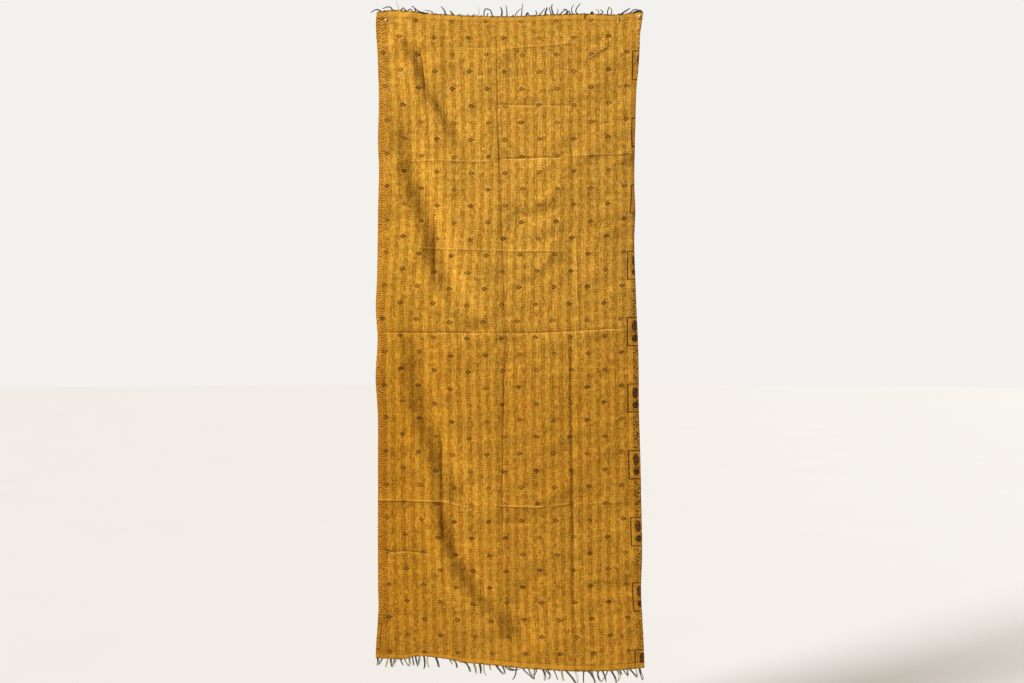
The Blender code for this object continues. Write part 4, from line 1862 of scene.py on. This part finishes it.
@dataclass
class RunningStitches:
    """Lengthwise rows of hand-sewn running stitches on one face of the cloth."""

    form: HangingForm
    face: Face
    rows: int = 88
    per_row: int = 180
    length: float = 0.0060
    width: float = 0.0010
    height: float = 0.0007
    wander: float = 0.0010
    edge: float = 0.0045
    uneven: float = 0.16
    lift: float = 0.15
    jitter: float = 0.10
    waves: tuple[float, ...] = (3.1, 7.7, 19.0)
    seed: int = 21

    def places(self) -> tuple[Array, Array]:
        """Fractions across and down of every stitch's middle.

        Returns:
            The two lists of fractions.
        """
        chance = np.random.default_rng(self.seed)
        pitch = (WIDTH - 2.0 * self.edge) / (self.rows - 1)
        step = (LENGTH - 2.0 * self.edge) / self.per_row
        across, down = [], []
        for row in range(self.rows):
            ahead = 0.5 * step if self.face is Face.REVERSE else 0.0
            start = chance.uniform(0.0, 0.5) * step + ahead
            places = self.edge + start + step * np.arange(self.per_row)
            places = places + chance.uniform(-self.jitter, self.jitter, self.per_row) * step
            sway = sum(np.sin(places * wave + chance.uniform(0.0, math.tau)) / 3.0
                       for wave in self.waves)
            across.append(self.edge + pitch * row + self.wander * sway)
            down.append(np.minimum(places, LENGTH - self.edge / 2.0))
        return np.concatenate(across) / WIDTH, np.concatenate(down) / LENGTH

    def recipe(self) -> NodeRecipe:
        """Tree that lays one small thread bead at each point, along the cloth's grain.

        Returns:
            The tree.
        """
        made = NodeRecipe("running stitches")
        wire = made.wire
        width = made.ask("Width", "NodeSocketFloat")
        height = made.ask("Height", "NodeSocketFloat")
        length = made.ask("Length", "NodeSocketFloat")
        spread = made.ask("Unevenness", "NodeSocketFloat")
        seed = made.ask("Seed", "NodeSocketInt")
        thread = made.ask("Thread", "NodeSocketMaterial")
        bead = wire.node("GeometryNodeMeshUVSphere")
        bead.inputs["Segments"].default_value = 3
        bead.inputs["Rings"].default_value = 3
        bead.inputs["Radius"].default_value = 0.58
        turn = wire.node("FunctionNodeAxesToRotation", primary_axis="Z", secondary_axis="X")
        wire.feed(turn.inputs["Primary Axis"], made.attribute("down", "FLOAT_VECTOR"))
        wire.feed(turn.inputs["Secondary Axis"], made.attribute("out", "FLOAT_VECTOR"))
        uneven = wire.node("FunctionNodeRandomValue", data_type="FLOAT")
        floats = [socket for socket in uneven.inputs if socket.type == "VALUE" and socket.enabled]
        wire.feed(floats[0], wire.math("SUBTRACT", 1.0, spread))
        wire.feed(floats[1], wire.math("ADD", 1.0, spread))
        wire.feed(uneven.inputs["Seed"], seed)
        factor = next(socket for socket in uneven.outputs if socket.enabled)
        size = wire.join(height, width, wire.math("MULTIPLY", length, factor))
        laid = wire.node("GeometryNodeInstanceOnPoints")
        wire.feed(laid.inputs["Points"], made.start.outputs["Geometry"])
        wire.feed(laid.inputs["Instance"], bead.outputs["Mesh"])
        wire.feed(laid.inputs["Rotation"], turn.outputs["Rotation"])
        wire.feed(laid.inputs["Scale"], size)
        made.finish(laid.outputs["Instances"], thread)
        return made

    def build(self, thread: bpy.types.Material) -> bpy.types.Object:
        """Make this face's stitches as one mesh.

        Args:
            thread: the thread's finish.

        Returns:
            The finished piece.
        """
        u, v = self.places()
        down, out = self.form.grain(u, v)
        points = self.form.front(u, v)
        if self.face is Face.REVERSE:
            points = points - out * THICKNESS
            out = -out
        points = points + out * self.height * self.lift
        name = f"{self.face.name.lower()}_stitches"
        piece = add_piece(name, points_mesh(name, points, [], down=down, out=out))
        return self.recipe().run(
            piece, Width=self.width, Height=self.height, Length=self.length,
            Unevenness=self.uneven, Seed=self.seed, Thread=thread,
        )


@dataclass(frozen=True)
class Yarn:
    """One loose yarn end, in millimetres from the cloth's edge.

    Args:
        x: where it leaves the edge.
        middle: how far its middle lies to the right and up.
        tip: how far its tip lies to the right and up.
        thick: its thickness.
        tone: 0 for green-black to 1 for pale.
    """

    x: float
    middle: tuple[float, float]
    tip: tuple[float, float]
    thick: float
    tone: float


def lay_yarns(*rows: tuple[float, ...]) -> tuple[Yarn, ...]:
    """Yarns from rows of plain numbers: x, middle, tip, thickness and tone."""
    return tuple(Yarn(x, (a, b), (c, d), thick, tone) for x, a, b, c, d, thick, tone in rows)


HEAD_YARNS = lay_yarns(
    (-421, -13, 6, -32, -4, 0.9, 0.0), (-383, -10, 11, -31, 5, 0.9, 0.0),
    (-380, -1, 1, -1, 3, 0.8, 0.0), (-364, -1, 14, -7, 31, 0.7, 1.0),
    (-355, 8, 8, 16, -1, 0.9, 0.0), (-333, 9, 6, 19, -4, 0.8, 0.0),
    (-306, -6, 15, -15, 18, 0.8, 0.1), (-271, -20, 5, -39, 16, 1.1, 0.0),
    (-251, -6, 9, -27, 12, 0.7, 0.2), (-211, -2, 13, -12, 27, 1.2, 0.1),
    (-184, -5, 8, -11, 14, 1.1, 0.0), (-171, 7, 2, 13, -8, 0.8, 0.6), (-120, 0, 2, 0, 5, 1.0, 0.0),
    (-115, 0, 4, -1, 9, 0.7, 0.2), (-102, 1, 15, 0, 29, 0.6, 0.9), (-84, 2, 22, 14, 24, 0.9, 0.1),
    (-57, -6, 19, -16, 23, 0.9, 0.1), (-74, 1, 8, 5, 11, 0.8, 0.0), (-29, 3, 15, -2, 31, 1.2, 0.1),
    (-11, 1, 17, -3, 35, 0.9, 0.3), (9, 1, 5, 2, 7, 0.9, 0.0), (36, 3, 20, 5, 41, 0.7, 0.2),
    (16, 7, 14, 21, 26, 0.7, 0.2), (52, 5, 10, 9, 3, 1.2, 0.0), (83, 4, 11, -3, 15, 0.7, 0.1),
    (93, 10, 10, 20, 23, 0.8, 0.4), (114, 3, 15, 7, 26, 1.1, 0.0), (118, -4, 11, 6, 19, 0.7, 0.1),
    (135, -4, 11, -7, 25, 0.9, 0.2), (142, -6, 17, -5, 34, 1.0, 0.0),
    (152, 4, 13, 0, 19, 0.6, 0.3), (163, 8, 9, 19, 15, 0.8, 0.2), (180, 5, 14, -8, 16, 0.9, 0.2),
    (186, 1, 7, 8, 11, 0.9, 0.0), (197, -3, 5, -13, 11, 1.0, 0.0), (206, -6, 13, 0, 31, 0.8, 0.3),
    (223, -9, 13, 7, 35, 0.9, 0.2), (238, 5, 1, 1, -16, 0.7, 0.5), (262, 5, 8, 9, 0, 1.1, 0.0),
    (286, 2, 10, -7, 17, 0.6, 0.1), (292, 10, 9, 0, 15, 0.8, 0.1), (317, 1, 14, 5, 26, 0.8, 0.1),
    (326, 5, 14, -3, 25, 0.7, 0.3), (359, 14, 10, 32, 21, 1.1, 0.1),
    (353, -1, -13, 0, -28, 0.5, 0.9), (392, 14, 13, 31, 6, 0.8, 0.2),
    (401, 15, 7, 29, 2, 1.2, 0.0), (411, 8, 8, 17, 5, 0.9, 0.0),
)
FOOT_YARNS = lay_yarns(
    (-431, 2, -13, 1, -24, 1.0, 0.0), (-416, -3, -11, -10, -21, 0.9, 0.3),
    (-398, -3, -15, -8, -30, 0.8, 0.7), (-386, 0, -14, 3, -28, 1.2, 0.0),
    (-376, -2, -13, -8, -26, 0.9, 0.2), (-368, -3, -10, -11, -15, 0.7, 0.7),
    (-355, 3, -11, 7, -21, 1.0, 0.1), (-344, 7, -13, 18, -24, 0.9, 0.4),
    (-327, 1, -13, 3, -25, 0.9, 0.5), (-318, 4, -14, 6, -29, 1.0, 0.1),
    (-308, 5, -17, 8, -34, 1.1, 0.0), (-295, -1, -17, -4, -32, 0.9, 0.5),
    (-281, 3, -22, 2, -42, 1.3, 0.0), (-269, 1, -19, 4, -37, 0.9, 0.8),
    (-241, 5, -17, 12, -33, 1.2, 0.0), (-196, 4, -9, 9, -18, 0.7, 0.4),
    (-187, 11, -10, 16, -26, 1.1, 0.1), (-156, 19, -10, 26, -34, 1.1, 0.1),
    (-120, 7, -15, 9, -36, 1.0, 0.4), (-98, 2, -16, 3, -32, 1.3, 0.1),
    (-85, 1, -20, 6, -37, 0.9, 0.6), (-69, 4, -10, 8, -19, 0.8, 0.5),
    (-45, 11, -17, 24, -30, 1.1, 0.1), (-25, 5, -12, 7, -25, 0.9, 0.1),
    (-17, 19, -13, 52, -7, 0.9, 0.2), (-6, 11, -10, 28, -9, 0.9, 0.1),
    (20, -2, -19, -11, -40, 1.0, 0.1), (40, 15, -17, 38, -36, 1.3, 0.3),
    (60, 6, -17, 17, -32, 0.9, 0.3), (78, 1, -16, 0, -33, 0.9, 0.3),
    (87, -3, -11, -8, -23, 0.8, 0.1), (107, 7, -17, 7, -36, 1.1, 0.1),
    (117, 4, -8, 10, -17, 0.9, 0.1), (119, 9, -15, 6, -32, 1.0, 0.3),
    (142, 7, -16, 13, -32, 1.2, 0.1), (167, 3, -17, 7, -34, 1.0, 0.6),
    (182, 18, -19, 35, -46, 1.2, 0.1), (209, 7, -18, 9, -38, 0.8, 0.5),
    (240, -2, -22, -1, -46, 1.3, 0.1), (254, 13, -18, 22, -39, 1.1, 0.2),
    (266, 5, -18, 9, -37, 0.8, 0.5), (289, -2, -18, 9, -34, 1.0, 0.1),
    (300, 7, -18, 13, -36, 1.1, 0.1), (319, -9, -17, -22, -35, 0.9, 0.3),
    (328, 13, -20, 18, -40, 1.2, 0.1), (348, 7, -20, 0, -38, 0.9, 0.5),
    (356, 3, -9, 5, -18, 1.0, 0.1), (365, 10, -10, 18, -22, 0.8, 0.5),
    (380, 2, -12, 2, -24, 0.8, 0.2), (389, 13, -13, 24, -27, 1.1, 0.1),
    (407, 5, -13, 7, -28, 0.8, 0.6), (421, 4, -19, 10, -39, 1.3, 0.1),
)


@dataclass
class YarnFringe:
    """The loose yarn ends along one end of the cloth, with the thread that roots them."""

    form: HangingForm
    edge: Edge
    yarns: tuple[Yarn, ...]
    companions: int
    stubs: int
    stub_length: float
    seed: int
    fullness: float
    steps: int = 11
    taper: float = 0.55
    root_thread: float = 0.0003
    sunk: float = 0.0012
    forward: float = 0.10
    curl: float = 0.0008
    over_hem: float = 0.0028
    companion_slip: float = 0.0022
    stub_slip: float = 0.0006
    reach: float = 0.424
    sides: int = 4
    points: list = field(default_factory=list)
    edges: list = field(default_factory=list)
    thick: list = field(default_factory=list)
    tone: list = field(default_factory=list)

    def root(self, x: float) -> Array:
        """Point on the cloth's edge, in the middle of its thickness.

        Args:
            x: metres right of the middle.

        Returns:
            The point.
        """
        v = 0.0 if self.edge is Edge.HEAD else 1.0
        left = LEFT_EDGE.at(np.array([v * LENGTH]))[0]
        right = RIGHT_EDGE.at(np.array([v * LENGTH]))[0]
        u = np.array([np.clip((x - left) / (right - left), 0.002, 0.998)])
        place = self.form.front(u, np.array([v]))[0]
        return place + np.array((0.0, THICKNESS / 2.0, 0.0))

    def add_line(self, line: Array, thick: Array, tone: float) -> None:
        """Keep one yarn's points, thickness and tone.

        Args:
            line: its points.
            thick: half its thickness at each.
            tone: its tone.
        """
        start = len(self.points)
        self.points.extend(line.tolist())
        self.edges.extend((start + n, start + n + 1) for n in range(len(line) - 1))
        self.thick.extend(thick.tolist())
        self.tone.extend([tone] * len(line))

    def grow(self, yarn: Yarn, chance: np.random.Generator, shift: float, slip: float) -> None:
        """Lay one yarn from the edge through its middle to its tip.

        Args:
            yarn: the yarn as it is listed.
            chance: the fringe's own random draws.
            shift: metres that its root is moved along the edge.
            slip: metres that its middle and tip may wander.
        """
        root = self.root(yarn.x / 1000.0 + shift)
        root[2] -= self.edge.value * self.sunk
        wander = chance.uniform(-slip, slip, 4)
        middle = np.array(yarn.middle) / 1000.0 + wander[:2]
        tip = np.array(yarn.tip) / 1000.0 + wander[2:]
        t = np.linspace(0.0, 1.0, self.steps)[:, None]
        bend = 2.0 * middle - tip / 2.0
        flat = 2.0 * t * (1.0 - t) * bend + t * t * tip
        curl = self.curl * np.sin(math.tau * (1.3 * t[:, 0] + chance.uniform())) * t[:, 0]
        length = float(np.linalg.norm(tip))
        out = self.forward * length * t[:, 0] * chance.uniform(0.2, 1.0)
        if yarn.tip[1] * self.edge.value < 0.0:
            out = out + self.over_hem * ease(t[:, 0] * 2.5)
        line = np.stack((root[0] + flat[:, 0] + curl, root[1] - out,
                         root[2] + flat[:, 1] + 0.5 * curl), axis=1)
        size = yarn.thick / 2000.0 * (1.0 - (1.0 - self.taper) * t[:, 0] ** 2)
        self.add_line(line, size, yarn.tone)

    def add_stubs(self, chance: np.random.Generator) -> None:
        """Short frayed ends all along the edge.

        Args:
            chance: the fringe's own random draws.
        """
        for place in np.linspace(-self.reach, self.reach, self.stubs):
            x = (place + chance.uniform(-0.004, 0.004)) * 1000.0
            length = self.stub_length * 1000.0 * chance.uniform(0.35, 1.0)
            lean = length * chance.uniform(-0.9, 0.9)
            up = length * self.edge.value
            stub = Yarn(x, (lean * 0.3, up * 0.6), (lean, up), chance.uniform(0.5, 0.9),
                        float(chance.choice((0.0, 0.0, 0.1, 0.4, 0.7))))
            self.grow(stub, chance, 0.0, self.stub_slip)

    def add_root_thread(self, chance: np.random.Generator) -> None:
        """The uneven thread that binds the roots along the edge.

        Args:
            chance: the fringe's own random draws.
        """
        places = np.linspace(-0.429, 0.429, 260)
        line = np.array([self.root(place) for place in places])
        beat = np.sin(places * 1500.0)
        line[:, 2] += self.edge.value * (0.0003 + 0.0003 * beat)
        line[:, 1] += 0.0003 * np.cos(places * 1500.0)
        knots = np.maximum(np.sin(places * 700.0 + 9.0 * np.sin(places * 23.0)), 0.0) ** 3
        thick = self.root_thread / 2.0 * (0.5 + 0.3 * chance.uniform(0.0, 1.0, len(places)) + knots)
        self.add_line(line, thick, 0.05)

    def recipe(self) -> NodeRecipe:
        """Tree that spins round yarn along every line of points.

        Returns:
            The tree.
        """
        made = NodeRecipe("yarn ends")
        wire = made.wire
        fullness = made.ask("Fullness", "NodeSocketFloat")
        sides = made.ask("Sides", "NodeSocketInt")
        yarn = made.ask("Yarn", "NodeSocketMaterial")
        lines = wire.node("GeometryNodeMeshToCurve")
        wire.feed(lines.inputs["Mesh"], made.start.outputs["Geometry"])
        ring = wire.node("GeometryNodeCurvePrimitiveCircle")
        wire.feed(ring.inputs["Resolution"], sides)
        wire.feed(ring.inputs["Radius"], fullness)
        spun = wire.node("GeometryNodeCurveToMesh")
        wire.feed(spun.inputs["Curve"], lines.outputs["Curve"])
        wire.feed(spun.inputs["Scale"], made.attribute("thick", "FLOAT"))
        wire.feed(spun.inputs["Profile Curve"], ring.outputs["Curve"])
        spun.inputs["Fill Caps"].default_value = True
        made.finish(spun.outputs["Mesh"], yarn)
        return made

    def build(self, yarn: bpy.types.Material) -> bpy.types.Object:
        """Make this fringe as one mesh.

        Args:
            yarn: the yarn's finish.

        Returns:
            The finished piece.
        """
        chance = np.random.default_rng(self.seed)
        for placed in self.yarns:
            self.grow(placed, chance, 0.0, 0.0)
            for number in range(self.companions):
                side = (-1.0) ** number
                beside = Yarn(placed.x, placed.middle, placed.tip, placed.thick * 0.75,
                              min(placed.tone + chance.uniform(0.0, 0.5), 1.0))
                self.grow(beside, chance, side * chance.uniform(0.0010, 0.0030),
                          self.companion_slip)
        self.add_stubs(chance)
        self.add_root_thread(chance)
        name = "head_yarn_fringe" if self.edge is Edge.HEAD else "foot_yarn_fringe"
        mesh = points_mesh(name, np.array(self.points), self.edges,
                           thick=np.array(self.thick), tone=np.array(self.tone))
        piece = add_piece(name, mesh)
        return self.recipe().run(piece, Fullness=self.fullness, Sides=self.sides, Yarn=yarn)


@dataclass
class WallPin:
    """White round-headed wall pin, turned about its own line."""

    name: str
    x: float
    drop: float
    head: float = 0.0037
    head_depth: float = 0.0030
    brow: float = 0.00105
    head_gap: float = 0.0005
    shank: float = 0.0006
    into_wall: float = 0.012
    turns: int = 32
    arc_steps: int = 9

    def profile(self) -> list[tuple[float, float]]:
        """Half outline from the crown of the head to the point, along +Y.

        Returns:
            Pairs of radius and place along +Y.
        """
        rows = [(0.0, -self.head_depth)]
        for step in range(1, self.arc_steps + 1):
            turn = math.pi / 2.0 * step / self.arc_steps
            along = -self.brow - (self.head_depth - self.brow) * math.cos(turn)
            rows.append((self.head * math.sin(turn), along))
        rows += [(self.head * 0.985, -self.brow * 0.35), (self.head * 0.93, 0.0)]
        rows += [(self.shank, 0.0), (self.shank, self.into_wall * 0.8)]
        rows.append((0.0, self.into_wall + WALL_GAP + THICKNESS))
        return rows

    def build(self, paint: bpy.types.Material) -> bpy.types.Object:
        """Turn the outline into a closed pin in its place.

        Args:
            paint: the pin's finish.

        Returns:
            The finished piece.
        """
        bm = bmesh.new()
        verts = [bm.verts.new((radius, along, 0.0)) for radius, along in self.profile()]
        edges = [bm.edges.new(pair) for pair in zip(verts, verts[1:])]
        bmesh.ops.spin(bm, geom=verts + edges, cent=(0.0, 0.0, 0.0), axis=(0.0, 1.0, 0.0),
                       angle=math.tau, steps=self.turns, use_merge=True)
        bmesh.ops.remove_doubles(bm, verts=bm.verts, dist=1.0e-6)
        bmesh.ops.recalc_face_normals(bm, faces=bm.faces)
        seat = Vector((self.x, -(WALL_GAP + THICKNESS + self.head_gap), -self.drop))
        bmesh.ops.translate(bm, vec=seat, verts=bm.verts)
        mesh = bpy.data.meshes.new(self.name)
        bm.to_mesh(mesh)
        bm.free()
        mesh.materials.append(paint)
        mesh.shade_smooth()
        mesh.set_sharp_from_angle(angle=math.radians(50.0))
        return add_piece(self.name, mesh)


@dataclass
class Studio:
    """Pale floor, soft light from the upper left, and the camera of the view face on."""

    floor_drop: float = 2.42
    floor_reach: float = 40.0
    middle: tuple[float, float, float] = (0.0065, 0.0, -1.0556)
    distance: float = 4.636
    lens: float = 50.0
    sensor: float = 36.0
    backdrop: tuple[float, ...] = linear(243, 241, 238)
    fill: tuple[float, ...] = (0.250, 0.198, 0.098, 1.0)
    key_from: tuple[float, float, float] = (-1.4, -1.0, 0.8)
    key_strength: float = 4.9
    rear_from: tuple[float, float, float] = (0.6, 1.0, 0.7)
    rear_strength: float = 2.1
    softness: float = 20.0
    lamp_tone: tuple[float, float, float] = (0.985, 0.985, 0.995)
    lamp_distance: float = 3.0

    def floor(self) -> bpy.types.Object:
        """Round pale floor under the throw.

        Returns:
            The floor.
        """
        bm = bmesh.new()
        bmesh.ops.create_circle(bm, cap_ends=True, radius=self.floor_reach, segments=96)
        bmesh.ops.translate(bm, vec=(0.0, 0.0, -self.floor_drop), verts=bm.verts)
        mesh = bpy.data.meshes.new("studio_floor")
        bm.to_mesh(mesh)
        bm.free()
        mesh.materials.append(PaleFloor().build())
        made = add_piece("studio_floor", mesh)
        made.visible_diffuse = False
        return made

    def light(self) -> None:
        """Pale backdrop, even fill, a key light from the upper left and one behind."""
        world = bpy.data.worlds.new("pale surroundings")
        world.use_nodes = True
        wire = Wiring(world.node_tree)
        back = world.node_tree.nodes["Background"]
        seen = wire.node("ShaderNodeLightPath").outputs["Is Camera Ray"]
        wire.feed(back.inputs["Color"], wire.blend(seen, self.fill, self.backdrop))
        bpy.context.scene.world = world
        self.lamp("soft key", self.key_from, self.key_strength)
        self.lamp("soft rear light", self.rear_from, self.rear_strength)

    def lamp(self, name: str, source: tuple[float, float, float], strength: float) -> None:
        """Even soft light from one direction.

        Args:
            name: the lamp's name.
            source: the direction that it shines from.
            strength: its strength.
        """
        data = bpy.data.lights.new(name, "SUN")
        data.energy = strength
        data.angle = math.radians(self.softness)
        data.color = self.lamp_tone
        made = bpy.data.objects.new(name, data)
        bpy.context.scene.collection.objects.link(made)
        made.location = Vector(source) * self.lamp_distance
        made.rotation_euler = Vector(source).to_track_quat("Z", "Y").to_euler()

    def camera(self) -> None:
        """Level camera face on to the throw."""
        data = bpy.data.cameras.new("face on")
        data.lens = self.lens
        data.sensor_width = self.sensor
        data.clip_end = 100.0
        made = bpy.data.objects.new("face on", data)
        bpy.context.scene.collection.objects.link(made)
        made.location = (self.middle[0], -self.distance, self.middle[2])
        made.rotation_euler = (math.pi / 2.0, 0.0, 0.0)
        bpy.context.scene.camera = made

    def build(self) -> None:
        """Set up floor, light and camera."""
        bpy.context.scene.view_settings.view_transform = "Standard"
        self.camera()
        self.floor()
        self.light()


def main() -> None:
    """Build every piece in order and tie it to the frame."""
    form = HangingForm()
    Studio().build()
    cloth = take_in(QuiltedCloth(form, PrintPlan()).build(), "printed_cotton", "cloth")
    thread = QuiltingThread().build()
    stitches = [take_in(RunningStitches(form, face, seed=seed).build(thread), "printed_cotton")
                for face, seed in ((Face.PRINTED, 21), (Face.REVERSE, 22))]
    yarn = FringeYarn().build()
    head = YarnFringe(form, Edge.HEAD, HEAD_YARNS, companions=0, stubs=60, stub_length=0.0056,
                      seed=31, fullness=5.0)
    foot = YarnFringe(form, Edge.FOOT, FOOT_YARNS, companions=2, stubs=30, stub_length=0.0060,
                      seed=32, fullness=3.4)
    fringes = [take_in(head.build(yarn), "fringe_yarn", "top_fringe"),
               take_in(foot.build(yarn), "fringe_yarn", "bottom_fringe")]
    paint = PinPaint().build()
    pins = [take_in(WallPin(f"wall_{node}", x, drop).build(paint), "pin_paint", node)
            for node, (x, drop) in PIN_PLACES.items()]
    log.info("%d pieces built", 3 + len(fringes) + len(pins))


if __name__ == "__main__":
    logging.basicConfig(level=logging.INFO, format="%(message)s")
    main()
